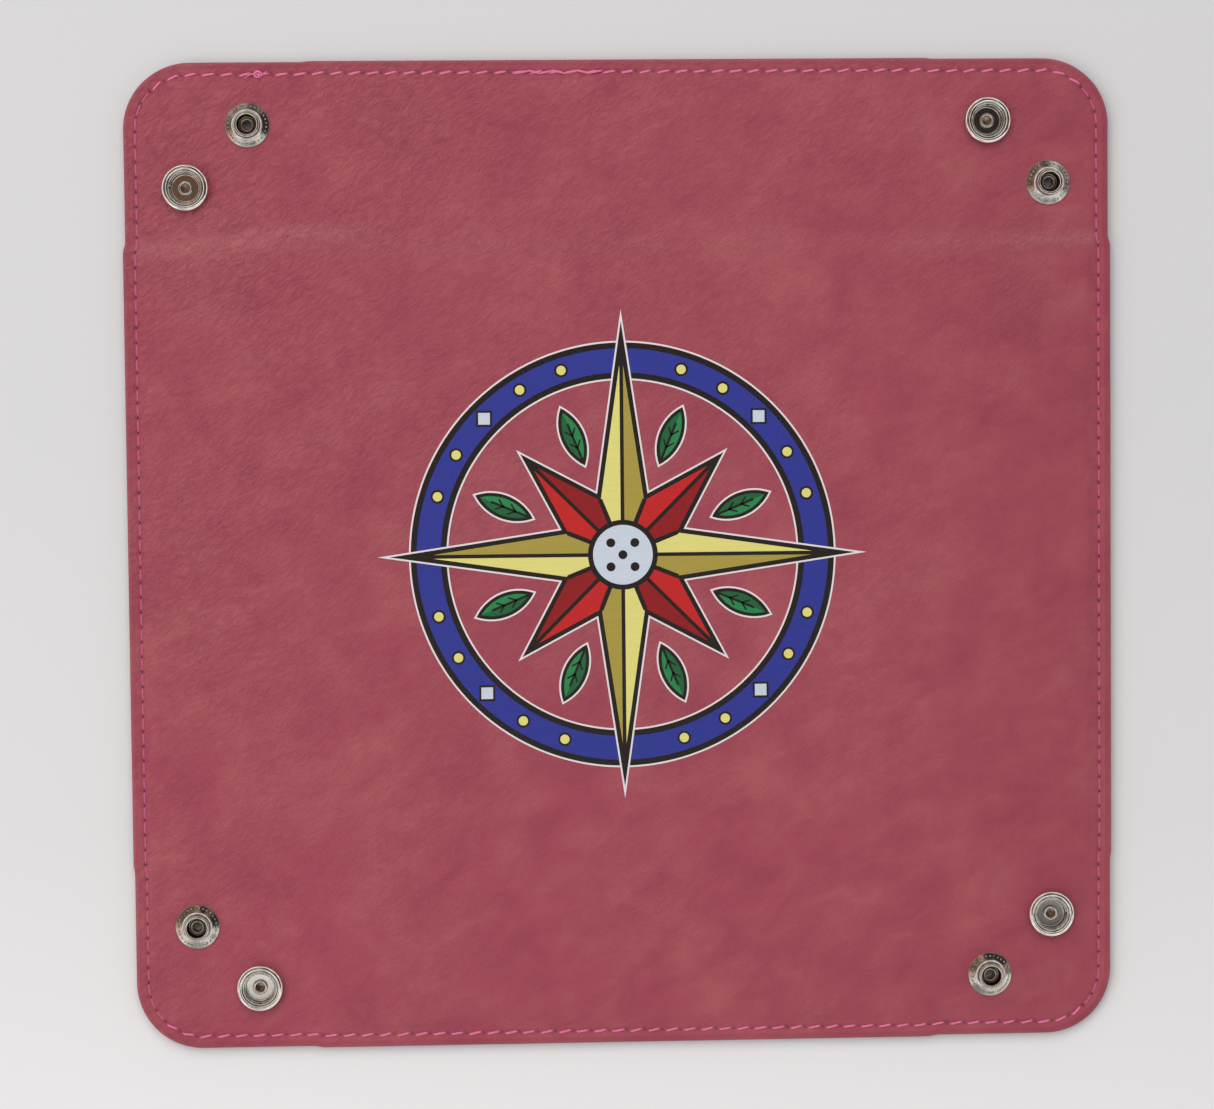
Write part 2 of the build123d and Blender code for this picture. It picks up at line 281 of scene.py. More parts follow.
def sheet_normals(z, up):
    points = np.stack([PLAN_X, PLAN_Y, z], -1)
    normals = np.cross(np.gradient(points, axis=0), np.gradient(points, axis=1))
    length = np.linalg.norm(normals, axis=-1, keepdims=True)
    normals = normals / np.where(length < 1e-12, 1, length)
    return normals if up else -normals


NORMALS_TOP, NORMALS_LOW = sheet_normals(Z_TOP, True), sheet_normals(Z_LOW, False)

# ---------------------------------------------------------------- fields the leather uses
STITCH_COUNT = {"right": 63, "left": 63, "back": 52, "front": 52}
SEAM_ARC = (OUTLINE_R - SEAM_IN) * math.pi / 4      # seam from a straight run to the diagonal
HALF_RUN = STRAIGHT + SEAM_ARC


def seam_phase(x, y):
    """Position round the sewn line, counted in stitches, for the needle holes."""
    beside = np.abs(x) >= np.abs(y)
    lateral = np.where(beside, np.where(x > 0, y, -y), np.where(y > 0, -x, x))
    reach = np.abs(lateral)
    over = np.clip(reach - STRAIGHT, 0, None)
    outward = np.maximum(far_near(x, y)[0] - STRAIGHT, 1e-6)
    run = np.where(reach <= STRAIGHT, reach, STRAIGHT + SEAM_ARC * np.clip(over / outward, 0, 1))
    count = np.where(beside, STITCH_COUNT["right"], STITCH_COUNT["back"])
    return (HALF_RUN + np.sign(lateral) * run) / (2 * HALF_RUN) * count


PHASE = seam_phase(GRID_X, GRID_Y)
EDGE = edge_distance(GRID_X, GRID_Y)
# the back fold is pale and finely wrinkled, most at its two ends
LEFT_LINE = FOLD + 4.6 * rise(GRID_X, -121, 46)
CREASE_TONE = (bell(GRID_Y - LEFT_LINE, 2.3) * rise(-GRID_X, 52, 26)
               + bell(GRID_Y - (FOLD + 1.6), 2.0) * rise(GRID_X, 82, 34) * 0.9
               + 0.30 * bell(GRID_Y - (FOLD + 1.0), 3.2)) * rise(EDGE, 1.5, 3)
# painted light: a little darker at the right, a little lighter at the front left
PAINTED_LIGHT_TONE = (1 - 0.05 * rise(GRID_X, 60, 50)
        + 0.03 * rise(-GRID_X, 20, 90) * rise(-GRID_Y, 10, 90))
# painted shade in the needle holes, darker on the left and right sides
HOLE_SHADE_STRENGTH = np.where(np.abs(GRID_X) >= np.abs(GRID_Y), 0.90, 0.50)


# ---------------------------------------------------------------- bodies and how they fold
def owner(x, y):
    """Which body a place on the mat belongs to."""
    far, near = far_near(x, y)
    out = far - FOLD
    if out < -FOLD_HALF:
        return "base"
    side, end = ("right" if x > 0 else "left"), ("back" if y > 0 else "front")
    wall, end = (side, end) if abs(x) >= abs(y) else (end, side)
    if near < CREASE - CREASE_HALF:
        return f"wall_{wall}"
    if out < -FOLD_END_HALF:
        return "base"
    if out < FOLD_END_HALF:
        return f"wall_{wall}"
    return f"corner_{wall}_{end}"


def wall_local(x, y, wall):
    """Distance out from a wall's fold, and distance along it."""
    out, along = turned(x, y, -math.radians(WALLS[wall]))
    return out - FOLD, along


def wall_weight(x, y, wall):
    out, along = wall_local(x, y, wall)
    taper_end = CREASE - CREASE_HALF
    half = (FOLD_HALF
            + (FOLD_END_HALF - FOLD_HALF) * rise(np.abs(along), 54, taper_end - 54))
    return rise(out, -half, 2 * half)


def corner_weight(x, y, z, wall):
    """How far each point turns with its corner half. The band beside the diagonal turns
    less, so that the two halves close on the corner's middle plane."""
    out, along = wall_local(x, y, wall)
    past = np.abs(along) - CREASE
    above = z - MID_Z
    far = rise(past, -CREASE_HALF, 2 * CREASE_HALF) * rise(out, FOLD_END_HALF, 5)
    turn = far * math.pi / 4
    gap_far = (SETBACK + past * (np.sin(turn) - np.cos(turn))
               - above * (np.cos(turn) + np.sin(turn))) / math.sqrt(2)
    diagonal = np.clip((out + SETBACK - past) / math.sqrt(2), 0, None)
    t = np.clip(1 - diagonal / SOFT_STRIP, 0, 1)
    pull = 1 - np.sqrt(1 - t * t)
    gap_rest = np.clip((above + PLY) / (2 * PLY), 0, 1)
    gap = gap_far - pull * (gap_far - gap_rest)
    # the turn that leaves this gap to the middle plane
    reach = np.hypot(past, above)
    cosine = np.clip((SETBACK / math.sqrt(2) - gap) / np.maximum(reach, 1e-6), -1, 1)
    solved = (np.arctan2(above, past) + np.arccos(cosine) - math.pi / 4) / (math.pi / 4)
    use = rise(out, FOLD_END_HALF, 1.2) * (t > 0) * (past > 1.0)
    return far * (1 - use) + solved * use


def blend(obj, weights):
    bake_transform(obj)


# ---------------------------------------------------------------- mesh helpers
def add_object(name, mesh, materials):
    for material in materials:
        mesh.materials.append(material)
    obj = bpy.data.objects.new(name, mesh)
    bpy.context.scene.collection.objects.link(obj)
    return obj


def smooth_mesh(name, points, faces):
    """A smooth-shaded mesh from points in mm, which it also keeps as rest_mm."""
    mesh = bpy.data.meshes.new(name)
    mesh.from_pydata((np.array(points) * MM).tolist(), [], faces)
    mesh.update()
    mesh.shade_smooth()
    rest = mesh.attributes.new("rest_mm", "FLOAT_VECTOR", "POINT")
    rest.data.foreach_set("vector", np.asarray(points, np.float32).ravel())
    return mesh


def float_attribute(mesh, name, values):
    attribute = mesh.attributes.new(name, "FLOAT", "POINT")
    attribute.data.foreach_set("value", np.asarray(values, np.float32))


# ---------------------------------------------------------------- leather panels
def panel_polys():
    """Grid faces by body, without those over a snap's post."""
    polys = {}
    last = len(GRID) - 1
    for i in range(last):
        for j in range(last):
            a, b, c, d = (i, j), (i + 1, j), (i + 1, j + 1), (i, j + 1)
            x, y = (GRID[i] + GRID[i + 1]) / 2, (GRID[j] + GRID[j + 1]) / 2
            on_diagonal = abs(abs(x) - abs(y)) < 1e-6
            if on_diagonal and min(abs(x), abs(y)) > FOLD - FOLD_END_HALF - 0.01:
                parts = [(a, b, c), (a, c, d)] if x * y > 0 else [(a, b, d), (b, c, d)]
            else:
                parts = [(a, b, c, d)]
            for part in parts:
                x = sum(GRID[corner[0]] for corner in part) / len(part)
                y = sum(GRID[corner[1]] for corner in part) / len(part)
                if not any(math.hypot(x - sx, y - sy) < 2.05 for *_, sx, sy in SNAPS):
                    polys.setdefault(owner(x, y), []).append(part)
    return polys


def round_post_holes(points, rim, count):
    """Moves the rim round each post, on both faces of a panel, on to a true circle."""
    for v in sorted({v for edge in rim for v in edge}):
        for *_, snap_x, snap_y in SNAPS:
            dx, dy = points[v, 0] - snap_x, points[v, 1] - snap_y
            r = math.hypot(dx, dy)
            if r < 4.5:
                for k in (v, v + count):
                    points[k, 0] = snap_x + dx / r * POST_HOLE_R
                    points[k, 1] = snap_y + dy / r * POST_HOLE_R


def set_sheet_normals(mesh, faces, visible, normals):
    """Takes visible faces' normals from the whole sheet, so that neighbouring panels shade
    as one surface. The rest stay flat."""
    vertex = np.zeros(len(mesh.loops), np.int64)
    mesh.loops.foreach_get("vertex_index", vertex)
    flat = np.zeros(len(mesh.polygons) * 3)
    mesh.polygons.foreach_get("normal", flat)
    face_of = np.repeat(np.arange(len(faces)), [len(face) for face in faces])
    loops = flat.reshape(-1, 3)[face_of]
    shown = visible[face_of]
    loops[shown] = normals[vertex[shown] % len(normals)]
    mesh.normals_split_custom_set(loops.tolist())


def leather_panel(name, polys, inner, material):
    """One closed panel of one cover: its upper face, its lower face and its cut edges.
    Returns the object with each vertex's grid x, grid y and height."""
    ids = {}
    for poly in polys:
        for corner in poly:
            ids.setdefault(corner, len(ids))
    count = len(ids)
    at = tuple(np.array(list(ids)).T)
    upper, lower = (Z_TOP, Z_TOP_HIDDEN) if inner else (Z_LOW_HIDDEN, Z_LOW)
    points = np.concatenate([np.stack([PLAN_X[at], PLAN_Y[at], z[at]], -1)
                             for z in (upper, lower)])
    faces, kinds, directed = [], [], set()
    for poly in polys:
        face = tuple(ids[corner] for corner in poly)
        faces += [face, tuple(count + v for v in reversed(face))]
        kinds += ["upper", "lower"]
        directed.update(zip(face, face[1:] + face[:1]))
    rim = sorted((a, b) for a, b in directed if (b, a) not in directed)
    round_post_holes(points, rim, count)
    for a, b in rim:
        faces.append((b, a, count + a, count + b))
        kinds.append("cut")
    mesh = smooth_mesh(name, points, faces)
    for attribute, field in (("edge_d", EDGE), ("seam_s", PHASE), ("crease", CREASE_TONE * inner),
                             ("painted_light_tone", PAINTED_LIGHT_TONE), ("hole_shade_k", HOLE_SHADE_STRENGTH)):
        float_attribute(mesh, attribute, np.tile(field[at], 2))
    rim_edges = {frozenset((a + k, b + k)) for a, b in rim for k in (0, count)}
    mesh.edges.foreach_set("use_edge_sharp",
                           [frozenset(tuple(edge.vertices)) in rim_edges for edge in mesh.edges])
    visible = np.array(kinds) == ("upper" if inner else "lower")
    set_sheet_normals(mesh, faces, visible, (NORMALS_TOP if inner else NORMALS_LOW)[at])
    obj = add_object(name, mesh, [material])
    return obj, np.tile(GRID[at[0]], 2), np.tile(GRID[at[1]], 2), points[:, 2]


# ---------------------------------------------------------------- shader node helpers
class Signal:
    """One output of a shader node. Arithmetic on it adds math nodes."""

    def __init__(self, graph, socket):
        self.graph, self.socket = graph, socket

    def output(self, name):
        return Signal(self.graph, self.socket.node.outputs[name])

    def clamped(self):
        self.socket.node.use_clamp = True
        return self

    def __add__(self, other):
        return self.graph.math("ADD", self, other)

    def __radd__(self, other):
        return self.graph.math("ADD", other, self)

    def __sub__(self, other):
        return self.graph.math("SUBTRACT", self, other)

    def __rsub__(self, other):
        return self.graph.math("SUBTRACT", other, self)

    def __mul__(self, other):
        return self.graph.math("MULTIPLY", self, other)

    def __pow__(self, other):
        return self.graph.math("POWER", self, other)

    def __abs__(self):
        return self.graph.math("ABSOLUTE", self)


class Graph:
    """Adds nodes to one node tree."""

    def __init__(self, tree):
        self.tree = tree

    def feed(self, node, inputs):
        for key, value in inputs.items():
            if isinstance(value, Signal):
                self.tree.links.new(value.socket, node.inputs[key])
            else:
                node.inputs[key].default_value = value

    def surface(self, inputs):
        self.feed(self.tree.nodes["Principled BSDF"], inputs)

    def node(self, kind, inputs, **settings):
        node = self.tree.nodes.new("ShaderNode" + kind)
        for key, value in settings.items():
            setattr(node, key, value)
        self.feed(node, inputs)
        return Signal(self, node.outputs[0])

    def math(self, operation, *values):
        return self.node("Math", dict(enumerate(values)), operation=operation)

    def band(self, value, centre, sharpness):
        """1 at the centre, falling to 0 at 1 / sharpness on either side."""
        return (1.0 - abs(value - centre) * sharpness).clamped()

    def noise(self, vector, scale, detail=2.0, roughness=0.5, distortion=0.0):
        return self.node("TexNoise", {"Scale": scale, "Detail": detail, "Roughness": roughness,
                                      "Distortion": distortion, "Vector": vector}).output("Fac")

    def cell_edges(self, vector, scale):
        return self.node("TexVoronoi", {"Scale": scale, "Vector": vector},
                         feature="DISTANCE_TO_EDGE").output("Distance")

    def mapped(self, vector, scale=(1, 1, 1), rotation=(0, 0, 0)):
        return self.node("Mapping", {"Scale": scale, "Rotation": rotation, "Vector": vector})

    def grain(self, vector, angle, scale):
        """Rotates first, then stretches, so that a grain can run along any direction."""
        return self.mapped(self.mapped(vector, rotation=(0, 0, -math.radians(angle))), scale)

    def coordinate(self, name):
        return self.node("TexCoord", {}).output(name)

    def object_mm(self):
        return self.mapped(self.coordinate("Object"), (1000, 1000, 1000))

    def attribute(self, name, output="Fac"):
        return self.node("Attribute", {}, attribute_name=name).output(output)

    def split(self, vector):
        axes = self.node("SeparateXYZ", {0: vector})
        return [axes.output(axis) for axis in "XYZ"]

    def ramp(self, factor, stops):
        color = self.node("ValToRGB", {"Fac": factor})
        elements = color.socket.node.color_ramp.elements
        while len(elements) > 1:
            elements.remove(elements[-1])
        elements[0].position, elements[0].color = stops[0][0], (*stops[0][1], 1)
        for position, stop_color in stops[1:]:
            elements.new(position).color = (*stop_color, 1)
        return color

    def mix(self, factor, first, second, mode="MIX"):
        first, second = (c if isinstance(c, Signal) else (*c, 1) for c in (first, second))
        return self.node("Mix", {0: factor, 6: first, 7: second},
                         data_type="RGBA", blend_type=mode).output(2)

    def bump(self, height, strength, distance, below=None):
        """Distance is in metres."""
        inputs = {"Strength": strength, "Distance": distance, "Height": height}
        if below is not None:
            inputs["Normal"] = below
        return self.node("Bump", inputs)


def new_material(name):
    material = bpy.data.materials.new(name)
    material.use_nodes = True
    return material, Graph(material.node_tree)


def scaled(color, factor):
    return tuple(c * factor for c in color)


# ---------------------------------------------------------------- materials
def leather_material(name, dark, base, light):
    material, g = new_material(name)
    pos = g.attribute("rest_mm", "Vector")
    x, y, _ = g.split(pos)
    deep = scaled(dark, 0.60)
    pale = tuple(min(1, c * gain) for c, gain in zip(light, (1.16, 1.45, 1.38)))

    # cloudy dye, 10 to 30 mm
    cloud = g.noise(pos, scale=0.042, detail=3.0, roughness=0.50, distortion=0.5)
    streaks = g.noise(g.grain(pos, 30, (0.085, 0.15, 1.0)), scale=1.0, detail=3.0,
                      roughness=0.52, distortion=0.6)
    fine = g.noise(pos, scale=1.5, detail=4.0, roughness=0.65)
    color = g.ramp(cloud * 0.50 + streaks * 0.38 + fine * 0.12,
                   [(0.36, dark), (0.50, base), (0.64, light)])

    # where the grain is pulled up: strongest at the back left, patchy elsewhere
    area = g.noise(pos, scale=0.022)
    tilt = (y - x) * 0.0021
    crease = g.attribute("crease")
    amount = (area * 1.0 + -0.12 + tilt).clamped()
    amount = (amount + crease * 0.5).clamped()

    # short diagonal wrinkles, about 0.9 mm apart and 2 to 3 mm long
    warp = g.noise(pos, scale=0.30).output("Color")
    bent = g.node("VectorMath", {0: warp, 1: (3.0, 3.0, 0.0), 2: pos}, operation="MULTIPLY_ADD")
    cell = g.math("MINIMUM", g.cell_edges(g.grain(bent, 33, (0.62, 1.55, 1.0)), 1.0) * 2.6, 1.0)
    wrinkle = g.noise(g.grain(bent, 36, (0.42, 1.75, 1.0)), scale=1.0, detail=4.0,
                      roughness=0.6, distortion=0.5)
    ridge = g.band(wrinkle, centre=0.5, sharpness=7.0)
    long_wrinkle = g.noise(g.grain(bent, 34, (0.36, 1.75, 1.0)), scale=1.0,
                           roughness=0.45, distortion=0.3)
    ripple = ((long_wrinkle - 0.5) * 4.2 + 0.5).clamped()      # contrast raised about its middle
    # fine pores everywhere
    skin = g.math("MINIMUM", g.cell_edges(bent, 1.9) * 3.6, 1.0)

    # painted shade in the grain's valleys and pores, painted highlight on its crests
    low = (1.0 - cell) * 0.40 + (1.0 - ripple) * 0.60
    color = g.mix(low * (amount * 0.40 + 0.03), color, deep)
    color = g.mix((1.0 - skin) * 0.12, color, deep)
    crest_highlight = ridge * cell * 0.35 + ripple * 0.65
    color = g.mix(crest_highlight * (amount * 0.34), color, pale)
    # paler along the back fold; on its wrinkle crests the extra paleness is painted highlight
    color = g.mix(crease * (0.22 + ridge * 0.34), color, pale)
    # painted light across the mat: darker at the right, lighter at the front left
    painted_light_tone = g.attribute("painted_light_tone")
    color = g.mix(1.0, color, g.node("CombineColor", {0: painted_light_tone, 1: painted_light_tone, 2: painted_light_tone}), "MULTIPLY")

    # turned edge: painted shade in a darker line where it rolls over, and a painted highlight on
    # the roll itself
    edge = g.attribute("edge_d")
    roll_shade_line = g.band(edge, centre=1.25, sharpness=1.5)
    color = g.mix(roll_shade_line * 0.22, color, scaled(dark, 0.55))
    roll_highlight = (1.0 - edge * 1.4).clamped() * (0.35 + g.noise(pos, scale=0.5, detail=3.0))
    color = g.mix(roll_highlight * 0.30, color, pale)

    # needle holes, one per stitch and about 4.2 mm apart, and the pull round them; the holes'
    # darkness is painted shade
    phase = g.attribute("seam_s")
    along = abs(g.math("FRACT", phase + 0.5) - 0.5) * 4.2
    across = edge - SEAM_IN
    distance = g.math("SQRT", along ** 2.0 + abs(across) ** 2.0)
    hole_shade = (1.0 - (distance - 0.14) * 3.6).clamped()
    pull = (1.0 - distance * 1.0).clamped()
    color = g.mix(hole_shade * g.attribute("hole_shade_k"), color, scaled(dark, 0.16))
    # painted shade along the sewn groove
    seam_channel_shade = (1.0 - abs(across) * 1.6).clamped()
    color = g.mix(seam_channel_shade * 0.16, color, deep)

    rough = 0.52 + (streaks - 0.5) * 0.26
    rough = rough - ridge * (amount * 0.10)
    normal = g.bump(skin, strength=0.45, distance=0.00008)
    normal = g.bump(cell * (0.22 + amount * 0.9), strength=0.62, distance=0.00011, below=normal)
    normal = g.bump(ridge * (amount + crease), strength=0.5, distance=0.00012, below=normal)
    normal = g.bump(ripple * (amount + crease), strength=0.42, distance=0.00009, below=normal)
    normal = g.bump(pull * -1.0, strength=0.8, distance=0.0003, below=normal)
    g.surface({"Base Color": color, "Roughness": rough, "Specular IOR Level": 0.30,
               "Normal": normal})
    return material


def thread_material(name, dark, base, light):
    material, g = new_material(name)
    pos = g.attribute("rest_mm", "Vector")
    strand = g.math("SINE", g.attribute("twist") * 6.2832) * 0.5 + 0.5
    fuzz = g.noise(pos, scale=5.0, detail=3.0, roughness=0.6)
    # painted shade in the grooves of the twist; the fuzz varies at random
    shade = (strand * 0.26 + fuzz * 0.72).clamped()
    fuzz_bump = g.bump(fuzz, strength=0.4, distance=0.00005)
    g.surface({"Base Color": g.ramp(shade, [(0.18, dark), (0.50, base), (0.86, light)]),
               "Roughness": 0.42, "Sheen Weight": 0.35, "Specular IOR Level": 0.5,
               "Normal": g.bump(strand, strength=0.5, distance=0.00006, below=fuzz_bump)})
    return material


def nickel_material(name, tint, rough, seed, cup, cup_shade_reflection=(0.50, 0.42, 0.35), groove_shades=(),
                    shade_bead_gaps=False):
    """Polished nickel. The cup is the radius inside which a colour of painted shade and reflection
    tints it.
    Each groove is a dark ring of painted shade: its radius, half width and strength."""
    material, g = new_material(name)
    pos = g.attribute("rest_mm", "Vector")
    radius = g.attribute("rad")
    blotch = g.noise(pos, scale=0.9 + seed * 0.07, detail=3.0, roughness=0.6)
    grit = g.noise(pos, scale=6.0, roughness=0.6)
    scratch = g.noise(g.grain(pos, 40 + 30 * seed, (0.5, 9.0, 1.0)), scale=1.0, detail=3.0,
                      roughness=0.6)
    color = g.ramp(blotch, [(0.30, scaled(tint, 0.80)), (0.70, tint)])
    inside = ((cup + 0.15 - radius) * 2.2).clamped()
    # painted shade and reflection inside the cup
    color = g.mix(inside * (0.45 + blotch * 0.5), color,
                  tuple(t * d for t, d in zip(tint, cup_shade_reflection)))
    if shade_bead_gaps:
        # painted shade in specks between the beads of the flange
        zone = g.band(radius, centre=BEAD_RING_R, sharpness=1.9)
        bead_gap_shade = ((g.noise(pos, scale=2.1, detail=3.0, roughness=0.6) - 0.47) * 9.0).clamped()
        color = g.mix(zone * (bead_gap_shade * 0.80), color, (0.06, 0.052, 0.046))
    # painted shade: a dark ring in each groove
    for centre, half, strength in groove_shades:
        ring = g.band(radius, centre, sharpness=1 / half)
        color = g.mix(ring * strength, color, (0.022, 0.019, 0.017))
    grit_bump = g.bump(grit, strength=0.06, distance=0.00002)
    g.surface({"Base Color": color, "Metallic": 1.0,
               "Roughness": rough + (scratch - 0.42) * 0.12 + inside * 0.10,
               "Normal": g.bump(scratch, strength=0.06, distance=0.00002, below=grit_bump)})
    return material


def board_material(name):
    material, g = new_material(name)
    fibre = g.noise(g.mapped(g.object_mm(), (0.35, 2.4, 1.0), (0, 0, 0.2)), scale=0.9,
                    detail=5.0, roughness=0.65)
    color = g.ramp(fibre, [(0.3, (0.23, 0.20, 0.165)), (0.55, (0.34, 0.305, 0.26)),
                           (0.8, (0.45, 0.41, 0.35))])
    g.surface({"Base Color": color, "Roughness": 0.86,
               "Normal": g.bump(fibre, strength=0.5, distance=0.00012)})
    return material


def ink_material(name, color, rough=0.38, spread=0.08, weave=0.0):
    """Printed film. Spread is how far its colour varies, weave the strength of a pale hatch."""
    material, g = new_material(name)
    pos = g.object_mm()
    lines = g.noise(g.mapped(pos, (0.10, 5.5, 1.0)), scale=1.0)
    speck = g.noise(pos, scale=3.0, detail=3.0, roughness=0.6)
    shades = [(0.35, scaled(color, 1 - spread)),
              (0.65, tuple(min(1, c * (1 + spread)) for c in color))]
    shade = g.ramp(lines * 0.55 + speck * 0.45, shades)
    cells = g.cell_edges(g.mapped(pos, (1.0, 1.35, 1.0), (0, 0, 0.5)), 1.35)
    normal = g.bump(lines, strength=0.22, distance=0.00005)
    normal = g.bump(g.math("MINIMUM", cells, 0.22), strength=0.38, distance=0.0001, below=normal)
    if weave:
        hatch = g.noise(g.mapped(pos, (0.5, 3.4, 1.0), (0, 0, -0.6)), scale=1.1, detail=3.0,
                        roughness=0.55)
        shade = g.mix((hatch - 0.60).clamped() * weave, shade, (0.085, 0.06, 0.05))
        normal = g.bump(hatch, strength=0.55, distance=0.00012, below=normal)
    g.surface({"Base Color": shade, "Roughness": rough + (speck - 0.5) * 0.18,
               "Specular IOR Level": 0.45, "Normal": normal})
    return material


BEAD_RING_R = 4.86      # ring of beads on a stud's flange

LEATHER_INNER = leather_material("leatherette_inner", dark=(0.291, 0.0480, 0.0755),
                                 base=(0.332, 0.0640, 0.0875), light=(0.376, 0.0875, 0.1035))
LEATHER_OUTER = leather_material("leatherette_outer", dark=(0.284, 0.0465, 0.0735),
                                 base=(0.323, 0.0620, 0.0850), light=(0.366, 0.0845, 0.1005))
# one pink thread in two copies; the darker one, for the left and right sides, is painted shade
THREAD_PINK = thread_material("thread_pink", dark=(0.42, 0.050, 0.15),
                              base=(0.72, 0.140, 0.31), light=(0.88, 0.28, 0.48))
THREAD_PINK_SHADED = thread_material("thread_pink_shaded", dark=(0.34, 0.036, 0.105),
                                 base=(0.51, 0.072, 0.185), light=(0.66, 0.13, 0.28))
# painted reflection inside the cup of each socket
SOCKET_CUP_REFLECTIONS = {"left_back": (0.36, 0.27, 0.20), "back_right": (0.15, 0.135, 0.125),
                 "right_front": (0.17, 0.155, 0.15), "front_left": (0.92, 0.91, 0.90)}
NICKEL_SOCKET = {
    place: nickel_material("nickel_socket_" + place, tint=(0.90, 0.88, 0.85), rough=0.07,
                           seed=0.3 * i, cup=3.55, cup_shade_reflection=cup_shade_reflection,
                           groove_shades=((4.50, 0.22, 0.85), (3.66, 0.20, 0.75), (1.78, 0.16, 0.6)))
    for i, (place, cup_shade_reflection) in enumerate(SOCKET_CUP_REFLECTIONS.items())}
NICKEL_STUD = nickel_material("nickel_stud", tint=(0.66, 0.63, 0.59), rough=0.14, seed=1.0,
                              cup=2.40, shade_bead_gaps=True,
                              groove_shades=((3.36, 0.22, 0.7), (2.40, 0.16, 0.8), (5.60, 0.12, 0.5)))
NICKEL_CAP = nickel_material("nickel_cap", tint=(0.80, 0.775, 0.74), rough=0.12, seed=2.0,
                             cup=1.20)
GREYBOARD = board_material("greyboard_fibre")


# ---------------------------------------------------------------- build the covers
def build_covers():
    for piece, polys in sorted(panel_polys().items()):
        for inner, material, word in ((True, LEATHER_INNER, "inner"),
                                      (False, LEATHER_OUTER, "outer")):
            obj, x, y, z = leather_panel(f"{word}_leather_{piece}", polys, inner, material)
            if piece == "base":
                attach(obj, "base")
            elif piece.startswith("wall_"):
                blend(obj, wall_weight(x, y, piece[5:]))
            else:
                wall = piece.split("_")[1]
                blend(obj, corner_weight(x, y, z, wall))
            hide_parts(f"{word}_cover_{piece}")


build_covers()


# ---------------------------------------------------------------- stitching
def seam_point(side, stitch, inward=0.0):
    """Grid position on the sewn line, so many stitches along a side."""
    run = stitch / STITCH_COUNT[side] * 2 * HALF_RUN - HALF_RUN
    inset = SEAM_IN + inward
    if abs(run) <= STRAIGHT:
        x, y = HALF - inset, run
    else:
        bend = min((abs(run) - STRAIGHT) / SEAM_ARC, 1.0)
        radius = OUTLINE_R - inset
        x, y = STRAIGHT + radius, math.copysign(STRAIGHT + radius * bend, run)
    return turned(x, y, math.radians(WALLS[side]))


def surface_z(x, y, top):
    """Height of the leather at a grid position, from the finished sheet."""
    last = len(GRID) - 2
    i = int(np.clip(np.searchsorted(GRID, x) - 1, 0, last))
    j = int(np.clip(np.searchsorted(GRID, y) - 1, 0, last))
    a = (x - GRID[i]) / (GRID[i + 1] - GRID[i])
    b = (y - GRID[j]) / (GRID[j + 1] - GRID[j])
    z = Z_TOP if top else Z_LOW
    return (z[i, j] * (1 - a) * (1 - b) + z[i + 1, j] * a * (1 - b)
            + z[i, j + 1] * (1 - a) * b + z[i + 1, j + 1] * a * b)


class Tube:
    """Gathers threads as swept tubes in one mesh."""
    SIDES = 10
    FLATNESS = 0.82      # height over width

    def __init__(self):
        self.points, self.faces, self.grid, self.twist = [], [], [], []

    def sweep(self, path, grid, radii, turns=9.0):
        base, rings, sides = len(self.points), len(path), self.SIDES
        path = np.array(path, float)
        tangents = np.gradient(path, axis=0)
        tangents /= np.maximum(np.linalg.norm(tangents, axis=1, keepdims=True), 1e-9)
        for i in range(rings):
            side = np.cross(tangents[i], (0, 0, 1.0))
            side /= max(np.linalg.norm(side), 1e-9)
            up = np.cross(side, tangents[i])
            for q in range(sides):
                angle = 2 * math.pi * q / sides
                self.points.append(path[i] + side * math.cos(angle) * radii[i]
                                   + up * math.sin(angle) * radii[i] * self.FLATNESS)
                self.grid.append(grid[i])
                self.twist.append(turns * i / (rings - 1) + q / sides)
        for i in range(rings - 1):
            for q in range(sides):
                a, b = base + i * sides + q, base + i * sides + (q + 1) % sides
                self.faces.append((a, a + sides, b + sides, b))
        self.faces.append(tuple(base + q for q in range(sides)))
        self.faces.append(tuple(base + (rings - 1) * sides + q for q in reversed(range(sides))))

    def build(self, name, material):
        mesh = smooth_mesh(name, self.points, self.faces)
        float_attribute(mesh, "twist", self.twist)
        return add_object(name, mesh, [material])


def add_stitch(tube, side, start, end, top, radius, slant, rise_z):
    """A stitch that dives into the leather at both ends."""
    steps = 16
    sunk = 0.30
    path, grid, radii = [], [], []
    for i in range(steps + 1):
        t = i / steps
        place = seam_point(side, start + (end - start) * t, slant * (t - 0.5))
        x, y = plan(*place)
        arch = min(1.0, math.sin(math.pi * t) * 1.6)
        lift = -sunk + (sunk + rise_z) * arch
        z = surface_z(*place, top)
        path.append((float(x), float(y), z + lift if top else z - lift))
        grid.append(place)
        radii.append(radius * (0.62 + 0.38 * arch))
    tube.sweep(path, grid, radii)


def thread_body(side, i):
    """The body that stitch i of a side is sewn to."""
    reach = max(abs(wall_local(*seam_point(side, s), side)[1]) for s in (i, i + 1))
    if reach <= CREASE - CREASE_HALF:
        return f"wall_{side}"
    past_middle = i + 0.5 > STITCH_COUNT[side] / 2
    return f"corner_{side}_{ENDS[side][0 if past_middle else 1]}"


